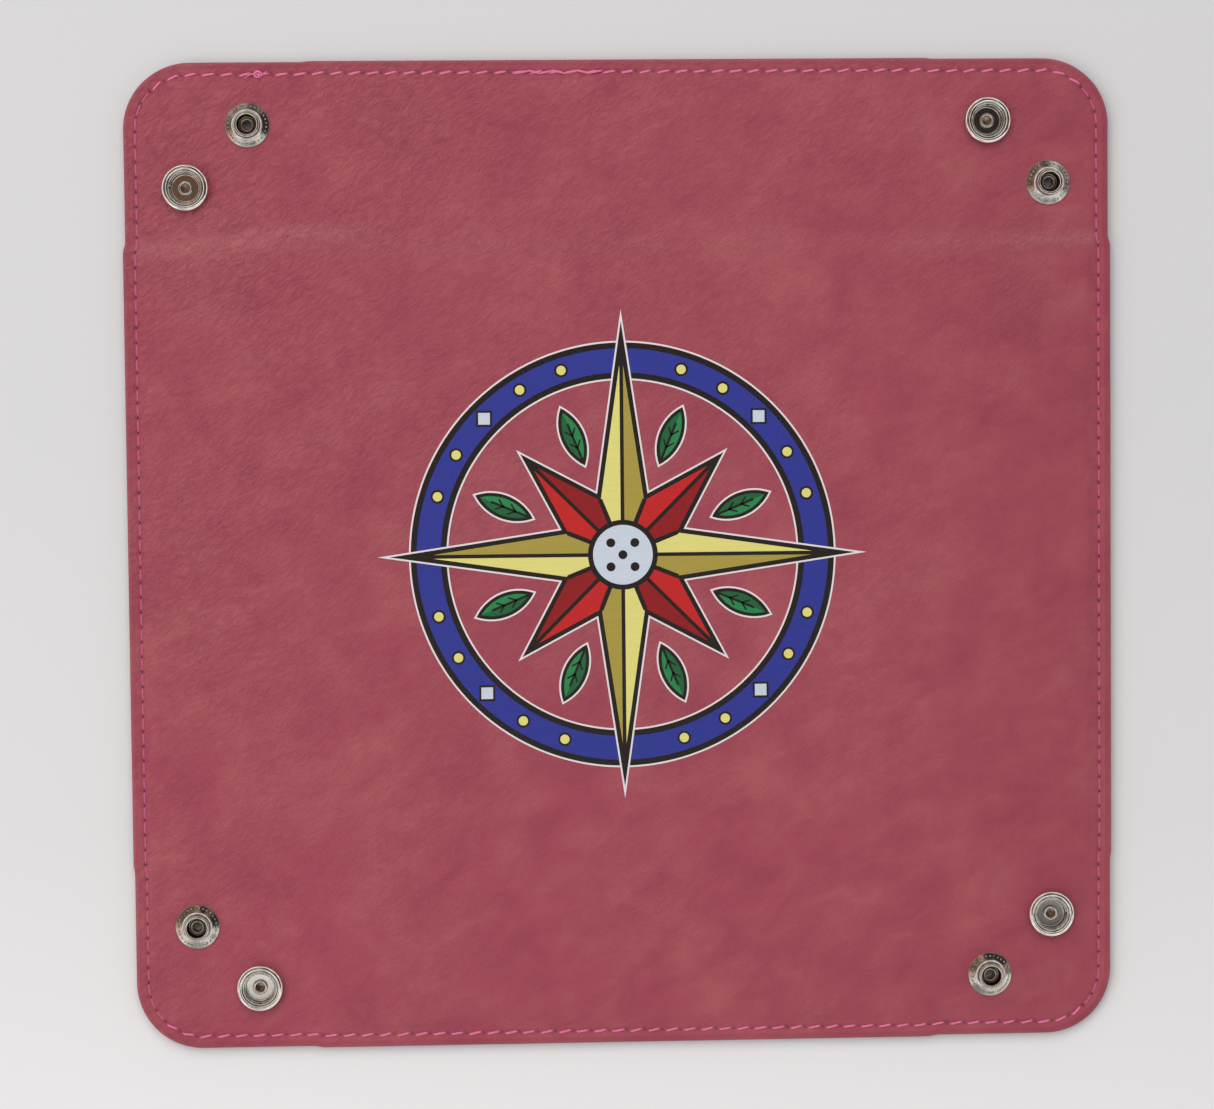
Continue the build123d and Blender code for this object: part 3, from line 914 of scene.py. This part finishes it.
def sew_sides():
    rng = np.random.default_rng(7)
    tubes = {}
    for side in WALLS:
        if side in ("back", "front"):
            radius, slant, rise_z, gap = 0.30, 0.62, 0.17, 0.15
        else:
            radius, slant, rise_z, gap = 0.245, 0.10, 0.04, 0.085
        for i in range(STITCH_COUNT[side]):
            tube = tubes.setdefault(thread_body(side, i), Tube())
            jitter = rng.uniform(-1, 1, 3)
            for top in (True, False):
                add_stitch(tube, side, start=i + gap + 0.02 * jitter[0],
                           end=i + 1 - gap + 0.02 * jitter[1], top=top,
                           radius=radius * (1 + 0.06 * jitter[2]),
                           slant=slant * (1 + 0.3 * jitter[0]), rise_z=rise_z)
    return tubes


def back_stitch_at(x):
    return (HALF_RUN - x) / (2 * HALF_RUN) * STITCH_COUNT["back"]


def add_back_tack(tube):
    """The last stitches of the run, sewn twice on the back edge."""
    for k, x in enumerate(np.arange(-24.5, -3.5, 3.1)):
        middle = back_stitch_at(x)
        add_stitch(tube, "back", start=middle - 0.42, end=middle + 0.42, top=True, radius=0.30,
                   slant=-0.9 if k % 2 else 0.7, rise_z=0.34)


def add_knot(tube):
    """The thread's knot and its two short tails, near the snap at the back left."""
    place = seam_point("back", back_stitch_at(-92.0))
    x, y = (float(v) for v in plan(*place))
    z = surface_z(*place, True)
    loop = []
    for i in range(46):
        t = i / 45 * 2 * math.pi * 2.0
        loop.append((x + 1.05 * math.cos(t) * (0.7 + 0.3 * math.cos(t * 0.5)),
                     y + 0.72 * math.sin(t), z + 0.42 + 0.26 * math.sin(1.5 * t)))
    tube.sweep(loop, [place] * 46, [0.27] * 46)
    for dx, dy, bend in ((-3.1, -0.9, 0.5), (2.3, 0.8, -0.4)):
        ts = [i / 11 for i in range(12)]
        tail = [(x + dx * t, y + dy * t + bend * math.sin(math.pi * t),
                 z + 0.45 - 0.12 * t + 0.1 * math.sin(3 * t)) for t in ts]
        tube.sweep(tail, [place] * 12, [0.22 * (1 - 0.35 * t) for t in ts], turns=4)


def build_stitching():
    tubes = sew_sides()
    add_back_tack(tubes["wall_back"])
    add_knot(tubes["corner_back_left"])
    for body, tube in sorted(tubes.items()):
        side = body.split("_")[1]
        # the darker thread copy on the left and right sides is painted shade
        material = THREAD_PINK if side in ("back", "front") else THREAD_PINK_SHADED
        obj = tube.build(f"thread_{body}", material)
        if body.startswith("wall_"):
            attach(obj, body)
        else:
            x, y = np.array(tube.grid).T
            z = np.array(tube.points)[:, 2]
            blend(obj, corner_weight(x, y, z, side))
        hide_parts(f"stitching_{body}")


build_stitching()

# ---------------------------------------------------------------- emblem: layered print
# A compass star over a ring, with a leaf between each two points.
BORDER = 0.45
STAR_LONG, STAR_SHORT, STAR_VALLEY = 60.0, 37.0, 17.0
RING_R, RING_HALF = 50.0, 4.6
DIAMOND_HALF = 2.9
LEAF_R, LEAF_LENGTH, LEAF_WIDTH = 33.0, 16.0, 6.0


def disc(cx, cy, r, n=32):
    return [(cx + r * math.cos(2 * math.pi * i / n), cy + r * math.sin(2 * math.pi * i / n))
            for i in range(n)]


def lens(cx, cy, half_length, half_width, heading, n=16):
    """Two arcs that meet in points, along a heading in degrees."""
    radius = (half_length ** 2 + half_width ** 2) / (2 * half_width)
    xs = [half_length * (1 - 2 * i / n) for i in range(n + 1)]
    upper = [(x, math.sqrt(radius ** 2 - x ** 2) - radius + half_width) for x in xs]
    outline = upper + [(-x, -y) for x, y in upper[1:-1]]
    rotated = [turned(x, y, math.radians(heading)) for x, y in outline]
    return [(cx + x, cy + y) for x, y in rotated]


def grown(points, margin):
    """The outline moved outward by a margin, with mitred corners."""
    points = counterclockwise(points)
    out = []
    for i, (x, y) in enumerate(points):
        before, after = points[i - 1], points[(i + 1) % len(points)]
        ux, uy = x - before[0], y - before[1]
        vx, vy = after[0] - x, after[1] - y
        lu, lv = math.hypot(ux, uy), math.hypot(vx, vy)
        n1, n2 = (uy / lu, -ux / lu), (vy / lv, -vx / lv)
        k = 1 + n1[0] * n2[0] + n1[1] * n2[1]
        out.append((x + margin * (n1[0] + n2[0]) / k, y + margin * (n1[1] + n2[1]) / k))
    return out


def stroke(start, end, width):
    """A line with round ends."""
    dx, dy = end[0] - start[0], end[1] - start[1]
    length = math.hypot(dx, dy)
    heading = math.atan2(dy / length, dx / length)
    return [(cx + width / 2 * math.cos(first + math.pi * i / 6),
             cy + width / 2 * math.sin(first + math.pi * i / 6))
            for (cx, cy), first in ((end, heading - math.pi / 2), (start, heading + math.pi / 2))
            for i in range(7)]


INK = {
    "white": ink_material("ink_border", (0.70, 0.64, 0.64), rough=0.42, spread=0.04),
    "black": ink_material("ink_black", (0.0105, 0.0075, 0.0065), rough=0.36, spread=0.12,
                          weave=1.3),
    "gold": ink_material("ink_gold", (0.66, 0.60, 0.18), rough=0.40, spread=0.05),
    "gold_dk": ink_material("ink_gold_dark", (0.34, 0.265, 0.045), rough=0.40),
    "red": ink_material("ink_red", (0.46, 0.012, 0.011), spread=0.07),
    "red_dk": ink_material("ink_red_dark", (0.235, 0.006, 0.008)),
    "blue": ink_material("ink_blue", (0.022, 0.030, 0.240)),
    "green": ink_material("ink_green", (0.015, 0.200, 0.058)),
    "green_dk": ink_material("ink_green_dark", (0.008, 0.105, 0.034)),
    "pearl": ink_material("ink_pearl", (0.52, 0.57, 0.64), rough=0.36, spread=0.06),
}


class Print:
    """Flat printed shapes laid over one another, each a thin closed film."""
    STEP = 0.011      # height of one level

    def __init__(self):
        self.shapes, self.rings = [], []

    def add(self, points, ink, level, on_leather=False):
        self.shapes.append((points, ink, level, on_leather))

    def ring(self, inner_r, outer_r, ink, level, on_leather=False):
        self.rings.append((inner_r, outer_r, ink, level, on_leather))

    def heights(self, level, on_leather):
        top = TOP_Z + 0.012 + self.STEP * level
        return top, (TOP_Z - 0.02 if on_leather else top - self.STEP - 0.004)

    def build(self, name):
        inks = sorted({entry[1] for entry in self.shapes} | {entry[2] for entry in self.rings})
        bm = bmesh.new()

        def verts(points, z):
            return [bm.verts.new((x * MM, y * MM, z * MM)) for x, y in points]

        def paint(corners, ink):
            bm.faces.new(corners).material_index = inks.index(ink)

        for points, ink, level, on_leather in self.shapes:
            points = counterclockwise(points)
            z_top, z_low = self.heights(level, on_leather)
            up = verts(points, z_top)
            down = verts(grown(points, 0.012), z_low)
            paint(up, ink)
            paint(list(reversed(down)), ink)
            for i in range(len(up)):
                k = (i + 1) % len(up)
                paint((down[i], down[k], up[k], up[i]), ink)
        for inner_r, outer_r, ink, level, on_leather in self.rings:
            z_top, z_low = self.heights(level, on_leather)
            n = 180
            loops = [verts(disc(0, 0, r, n), z)
                     for r, z in ((inner_r, z_low), (inner_r, z_top),
                                  (outer_r, z_top), (outer_r, z_low))]
            for a, b in zip(loops, loops[1:] + loops[:1]):
                for i in range(n):
                    k = (i + 1) % n
                    paint((a[i], b[i], b[k], a[k]), ink)
        bm.normal_update()
        bmesh.ops.triangulate(bm, faces=[f for f in bm.faces if len(f.verts) > 4],
                              ngon_method="EAR_CLIP")
        bm.normal_update()
        mesh = bpy.data.meshes.new(name)
        bm.to_mesh(mesh)
        bm.free()
        return add_object(name, mesh, [INK[ink] for ink in inks])


def emblem_ring():
    ring = Print()
    ring.ring(RING_R - RING_HALF - BORDER, RING_R + RING_HALF + BORDER, "white", 0, True)
    ring.ring(RING_R - RING_HALF, RING_R + RING_HALF, "black", 1)
    ring.ring(RING_R - RING_HALF + 1.5, RING_R + RING_HALF - 1.5, "blue", 2)
    for quarter in range(4):
        for angle in (18, 31.5, 58.5, 72):
            x, y = polar(RING_R, angle + 90 * quarter)
            ring.add(disc(x, y, 1.75), "black", 3)
            ring.add(disc(x, y, 1.20), "gold", 4)
        angle = 45 + 90 * quarter
        x, y = polar(RING_R, angle)
        dx, dy = polar(DIAMOND_HALF, angle)
        diamond = [polar(RING_R + DIAMOND_HALF, angle), (x - dy, y + dx),
                   polar(RING_R - DIAMOND_HALF, angle), (x + dy, y - dx)]
        ring.add(diamond, "black", 3)
        ring.add(grown(diamond, -0.55), "pearl", 4)
    return ring.build("emblem_ring")


def emblem_leaves():
    leaves = Print()
    for i in range(8):
        angle = 22.5 + 45 * i
        shape = lens(*polar(LEAF_R, angle), LEAF_LENGTH / 2, LEAF_WIDTH / 2, angle)
        leaves.add(grown(shape, BORDER), "white", 0, True)
        leaves.add(shape, "black", 1)
        body = grown(shape, -0.85)
        leaves.add(body, "green", 2)
        leaves.add(body[:len(body) // 2 + 1], "green_dk", 3)
        # midrib and two pairs of veins
        leaves.add(stroke(polar(LEAF_R - 6.6, angle), polar(LEAF_R + 3.4, angle), 0.62),
                   "black", 4)
        for offset in (-3.2, 0.2):
            for turn in (1, -1):
                x, y = polar(LEAF_R + offset, angle)
                dx, dy = polar(2.1, angle + turn * 38)
                leaves.add(stroke((x, y), (x + dx, y + dy), 0.42), "black", 4)
    return leaves.build("emblem_leaves")


def emblem_star():
    star = Print()
    radii = (STAR_LONG, STAR_VALLEY, STAR_SHORT, STAR_VALLEY)
    points = [polar(radii[i % 4], 22.5 * i) for i in range(16)]
    star.add(grown(points, BORDER), "white", 5, True)
    star.add(points, "black", 6)
    inner = grown(points, -1.15)
    for i in range(0, 16, 2):
        light, dark = ("gold", "gold_dk") if i % 4 == 0 else ("red", "red_dk")
        star.add([(0, 0), inner[i], inner[i + 1]], light, 7)
        star.add([(0, 0), inner[i - 1], inner[i]], dark, 7)
    for i in range(16):
        star.add(stroke((0, 0), inner[i], 0.95 if i % 2 == 0 else 1.15), "black", 8)
    star.add(disc(0, 0, 9.0, 72), "black", 9)
    star.add(disc(0, 0, 7.7, 72), "pearl", 10)
    for x, y in ((0, 0), (3.1, 3.1), (-3.1, 3.1), (3.1, -3.1), (-3.1, -3.1)):
        star.add(disc(x, y, 1.15), "black", 11)
    return star.build("emblem_star")


for film in (emblem_ring(), emblem_leaves(), emblem_star()):
    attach(film, "base")
    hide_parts("emblem_film")

# ---------------------------------------------------------------- snaps, turned parts
STACK = 2.0                # both plies
BORE, POST = 1.15, 1.55    # inner and outer radius of the hollow post
SEGMENTS = 112
BEAD_SLOPE = math.radians(23.1)


def arc_through(start, middle, end, steps=7):
    """Points on the circle through three points, after the first."""
    (ax, ay), (bx, by), (cx, cy) = start, middle, end
    d = 2 * (ax * (by - cy) + bx * (cy - ay) + cx * (ay - by))
    if abs(d) < 1e-9:
        return [middle, end]
    a2, b2, c2 = ax * ax + ay * ay, bx * bx + by * by, cx * cx + cy * cy
    ux = (a2 * (by - cy) + b2 * (cy - ay) + c2 * (ay - by)) / d
    uy = (a2 * (cx - bx) + b2 * (ax - cx) + c2 * (bx - ax)) / d
    r = math.hypot(ax - ux, ay - uy)
    t0, tm, t1 = (math.atan2(y - uy, x - ux) for x, y in (start, middle, end))
    span = (t1 - t0) % (2 * math.pi)
    if (tm - t0) % (2 * math.pi) > span:
        span -= 2 * math.pi
    return [(ux + r * math.cos(t0 + span * i / steps), uy + r * math.sin(t0 + span * i / steps))
            for i in range(1, steps + 1)]


def profile(*steps):
    """An outline of (radius, z) points. A pair of points is an arc: through, then to."""
    points = [steps[0]]
    for step in steps[1:]:
        points += arc_through(points[-1], *step) if isinstance(step[0], tuple) else [step]
    if math.dist(points[0], points[-1]) < 1e-6:
        points.pop()
    return points


# Heights are from the soft corner's upper face.
# the post's end, rolled outward over the front part
FLARE = [((1.22, 0.98), (1.50, 1.14)), ((1.86, 1.00), (1.95, 0.66)), (1.95, 0.46), (POST, 0.46)]
SOCKET = profile(
    (1.70, 0.0), (4.9, 0.0), ((5.62, 0.40), (5.9, 1.20)), (5.9, 2.05),
    ((5.76, 2.74), (5.22, 3.0)), ((4.86, 2.96), (4.66, 2.78)), (4.64, 2.66), (4.44, 2.62),
    ((4.26, 2.74), (4.08, 2.60)), (3.96, 2.46), (3.98, 2.31), (4.26, 2.30), (4.26, 1.50),
    (3.70, 1.50), (3.62, 0.86), ((3.52, 0.54), (3.20, 0.42)), (1.70, 0.42))
CAP_FACE_R, CAP_SAG = 5.30, 0.45      # domed face of the cap
DOME_R = (CAP_FACE_R ** 2 + CAP_SAG ** 2) / (2 * CAP_SAG)
CAP_ROLL = 0.65
ROLL_45 = CAP_ROLL * math.sqrt(0.5)
CAP = profile(
    (0.0, -STACK - 0.95), (BORE, -STACK - 0.95), (BORE, 0.70), *FLARE, (POST, -STACK - 0.02),
    (5.55, -STACK - 0.02),
    ((5.55 + ROLL_45, -STACK - 0.02 - CAP_ROLL + ROLL_45), (6.2, -STACK - 0.67)),
    ((6.02, -STACK - 1.08), (CAP_FACE_R, -STACK - 1.30)),
    ((2.65, -STACK - 1.75 + DOME_R - math.sqrt(DOME_R ** 2 - 2.65 ** 2)), (0.0, -STACK - 1.75)))
STUD = profile(
    (1.70, 0.0), (5.48, 0.0), ((5.66, 0.09), (5.7, 0.24)), ((5.67, 0.37), (5.52, 0.46)),
    (4.30, 0.98), ((3.66, 1.22), (3.30, 1.56)), (3.12, 1.90), (3.10, 2.20),
    ((3.18, 2.50), (3.35, 2.80)), ((3.28, 3.24), (2.90, 3.4)), ((2.60, 3.28), (2.46, 2.95)),
    (2.42, 0.86), ((2.34, 0.56), (2.10, 0.42)), (1.70, 0.42))
EYELET = profile(
    (BORE, -STACK - 0.62), (BORE, 0.70), *FLARE, (POST, -STACK - 0.02), (5.05, -STACK - 0.02),
    ((5.24, -STACK - 0.10), (5.3, -STACK - 0.28)), ((5.16, -STACK - 0.56), (4.70, -STACK - 0.72)),
    ((3.20, -STACK - 1.02), (1.90, -STACK - 0.96)), ((1.36, -STACK - 0.88), (BORE, -STACK - 0.62)))


class Turning:
    """Gathers the solids of one snap part about the Z axis."""

    def __init__(self):
        self.points, self.faces, self.radii = [], [], []

    def put(self, points, faces, radii=None):
        first = len(self.points)
        self.points += points
        self.faces += [tuple(first + v for v in face) for face in faces]
        self.radii += radii or [math.hypot(p[0], p[1]) for p in points]

    def lathe(self, outline):
        points, rows = [], []
        for r, z in counterclockwise(outline):
            if r < 1e-6:
                rows.append([len(points)] * SEGMENTS)
                points.append((0, 0, z))
            else:
                rows.append([len(points) + i for i in range(SEGMENTS)])
                points += [(x, y, z) for x, y in disc(0, 0, r, SEGMENTS)]
        faces = []
        for a, b in zip(rows, rows[1:] + rows[:1]):
            if a[0] == a[1] and b[0] == b[1]:
                continue
            for i in range(SEGMENTS):
                k = (i + 1) % SEGMENTS
                face = [a[i], a[k], b[k], b[i]]
                face = [v for n, v in enumerate(face) if v != face[n - 1]]
                if len(face) > 2:
                    faces.append(tuple(face))
        self.put(points, faces)

    def wire_ring(self, r, z, wire, gap_degrees, n=120, k=14):
        """A split ring of round wire. The gap is given on each side of +X."""
        start = math.radians(gap_degrees)
        points = []
        for i in range(n + 1):
            t = start + (2 * math.pi - 2 * start) * i / n
            w = wire * {0: 0.72, 1: 0.93}.get(min(i, n - i), 1.0)      # rounded ends
            for q in range(k):
                p = 2 * math.pi * q / k
                out = r + w * math.cos(p)
                points.append((out * math.cos(t), out * math.sin(t), z + w * math.sin(p)))
        faces = [(i * k + q, (i + 1) * k + q, (i + 1) * k + (q + 1) % k, i * k + (q + 1) % k)
                 for i in range(n) for q in range(k)]
        faces.append(tuple(range(k)))
        faces.append(tuple(reversed([n * k + q for q in range(k)])))
        self.put(points, faces)

    def bead(self, r, angle, size, z, slope, around=12, rows=8):
        """A pressed bump with a soft crown, half sunk in the flange."""
        size_x, size_y, size_z = size
        squareness = 0.72
        c, s = math.cos(slope), math.sin(slope)
        directions = [(0, 0), *((math.pi * j / rows, 2 * math.pi * i / around)
                                for j in range(1, rows) for i in range(around)), (math.pi, 0)]
        points = []
        for v, u in directions:
            x = size_x * math.copysign(abs(math.sin(v) * math.cos(u)) ** squareness, math.cos(u))
            y = size_y * math.copysign(abs(math.sin(v) * math.sin(u)) ** squareness, math.sin(u))
            w = size_z * math.cos(v)
            points.append((*turned(r + x * c + w * s, y, angle), z - x * s + w * c))

        def vertex(j, i):
            return 1 + (j - 1) * around + i % around

        faces = [(vertex(j, i), vertex(j + 1, i), vertex(j + 1, i + 1), vertex(j, i + 1))
                 for j in range(1, rows - 1) for i in range(around)]
        for i in range(around):
            faces.append((0, vertex(1, i), vertex(1, i + 1)))
            faces.append((len(points) - 1, vertex(rows - 1, i + 1), vertex(rows - 1, i)))
        self.put(points, faces, [r] * len(points))

    def build(self, name, material, cx, cy, turn):
        points = []
        for x, y, z in self.points:
            x, y = turned(x, y, turn)
            points.append((cx + x, cy + y, COVER_Z + z))
        mesh = smooth_mesh(name, points, self.faces)
        mesh.set_sharp_from_angle(angle=math.radians(38))
        float_attribute(mesh, "rad", self.radii)
        return add_object(name, mesh, [material])


def build_snap(wall, end, kind, x, y):
    front, rear = Turning(), Turning()
    if kind == "stud":
        front.lathe(STUD)
        for i in range(30):
            front.bead(BEAD_RING_R, 2 * math.pi * i / 30, size=(0.25, 0.25, 0.19),
                       z=0.46 + (5.52 - BEAD_RING_R) * math.tan(BEAD_SLOPE) - 0.01,
                       slope=BEAD_SLOPE)
        rear.lathe(EYELET)
        parts = ((front, "stud", NICKEL_STUD), (rear, "eyelet", NICKEL_STUD))
    else:
        front.lathe(SOCKET)
        front.wire_ring(r=3.87, z=1.90, wire=0.29, gap_degrees=6.5)
        rear.lathe(CAP)
        parts = ((front, "socket", NICKEL_SOCKET[f"{wall}_{end}"]), (rear, "cap", NICKEL_CAP))
    for part, word, material in parts:
        node = f"snap_{word}_{wall}_{end}"
        obj = part.build("turned_" + node, material, x, y, math.radians(WALLS[wall]))
        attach(obj, f"corner_{wall}_{end}")
        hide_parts(node)


for snap in SNAPS:
    build_snap(*snap)

# ---------------------------------------------------------------- boards kept from the frame
for name, obj in frame["nodes"].items():
    if "board" in name:
        if not obj.material_slots:
            obj.data.materials.append(GREYBOARD)
        for slot in obj.material_slots:
            slot.material = GREYBOARD


# ---------------------------------------------------------------- floor (metres from here on)
def paper_material(name):
    """Matt paper with painted light, a little lighter towards the front."""
    material, g = new_material(name)
    place = g.coordinate("Object")
    light_fade = (g.split(place)[1] * 3.1 + 0.5).clamped()
    weave = g.noise(g.mapped(place, (900, 900, 900)), scale=0.6, detail=3.0, roughness=0.6)
    color = g.ramp(light_fade, [(0.0, (0.800, 0.775, 0.775)), (0.28, (0.690, 0.675, 0.670)),
                          (0.62, (0.635, 0.625, 0.622)), (1.0, (0.615, 0.603, 0.605))])
    g.surface({"Base Color": g.mix(weave * 0.05, color, (0.60, 0.59, 0.59)),
               "Normal": g.bump(weave, strength=0.15, distance=0.0001), "Roughness": 0.9})
    return material


def build_floor():
    mesh = bpy.data.meshes.new("studio_floor")
    z = CAD_LO.z - 0.00012
    mesh.from_pydata([(-3, -3, z), (3, -3, z), (3, 3, z), (-3, 3, z)], [], [(0, 1, 2, 3)])
    add_object("studio_floor", mesh, [paper_material("studio_paper")])


build_floor()


# ---------------------------------------------------------------- lights
def area_light(name, location, size, power, color):
    """A softbox aimed at the centre, hidden from reflections."""
    light = bpy.data.lights.new(name, "AREA")
    light.shape = "RECTANGLE"
    light.size, light.size_y = size
    light.energy = power
    light.color = color
    obj = bpy.data.objects.new(name, light)
    bpy.context.scene.collection.objects.link(obj)
    obj.location = location
    obj.rotation_mode = "QUATERNION"
    obj.rotation_quaternion = (Vector((0, 0, 0)) - Vector(location)).to_track_quat("-Z", "Y")
    obj.visible_glossy = False


area_light("key_softbox", location=(-0.20, 0.70, 1.45), size=(1.6, 1.2), power=17.0,
           color=(1.0, 0.985, 0.965))
area_light("fill_softbox", location=(-0.95, -0.25, 1.25), size=(1.1, 1.1), power=7.0,
           color=(0.985, 0.99, 1.0))


def build_world():
    """An even pale light, and a room that only reflections see: dark overhead, a pale
    surface just to the front, brightness low down all round, and a few warm lamps."""
    world = bpy.data.worlds.new("studio")
    world.use_nodes = True
    g = Graph(world.node_tree)
    direction = g.coordinate("Generated")
    x, y, z = g.split(direction)
    wobble = g.noise(direction, scale=2.2, detail=3.0, roughness=0.55) - 0.5
    # each patch is (how far inside its border) * sharpness, clamped
    front = ((wobble * 0.10 - y - 0.158) * 24.0).clamped()
    low = ((0.80 + wobble * 0.5 - z) * 4.2).clamped()
    bright = g.math("MAXIMUM", front * 0.86, low)
    left = ((0.02 - x) * 7.0).clamped()
    dark = g.mix(left, (0.030, 0.028, 0.030), (0.190, 0.118, 0.075))
    streak = g.noise(g.mapped(direction, (1.0, 1.0, 6.0)), scale=2.6, detail=3.0, roughness=0.6)
    pale = g.ramp(streak, [(0.38, (0.16, 0.155, 0.15)), (0.47, (0.66, 0.66, 0.65)),
                           (0.57, (1.45, 1.45, 1.42))])
    room = g.mix(bright, dark, pale)
    lamps = ((g.noise(direction, scale=3.4, detail=1.0) - 0.58) * 7.0).clamped()
    room = g.mix(lamps * 0.75, room, (1.0, 0.62, 0.42))
    reflected = g.node("LightPath", {}).output("Is Glossy Ray")
    g.feed(world.node_tree.nodes["Background"],
           {"Color": g.mix(reflected, (0.955, 0.965, 1.0), room),
            "Strength": 0.44 + reflected * 0.56})      # 1 when reflected
    bpy.context.scene.world = world
    bpy.context.scene.view_settings.view_transform = "Standard"


build_world()

# ---------------------------------------------------------------- camera
CAMERA_PLACE = Vector((-34.969, 37.008, 774.906)) * MM
CAMERA_AXES = Matrix(((0.999133, -0.009919, 0.040442),       # to its right
                      (0.011831, 0.998811, -0.047299),       # up
                      (-0.039924, 0.047736, 0.998062)))      # backward


def build_camera():
    camera = bpy.data.cameras.new("camera")
    camera.sensor_width = 36.0
    camera.lens = 88.9621087
    camera.clip_start, camera.clip_end = 0.01, 20
    obj = bpy.data.objects.new("camera", camera)
    bpy.context.scene.collection.objects.link(obj)
    obj.matrix_world = Matrix.Translation(CAMERA_PLACE) @ CAMERA_AXES.transposed().to_4x4()
    bpy.context.scene.camera = obj


build_camera()
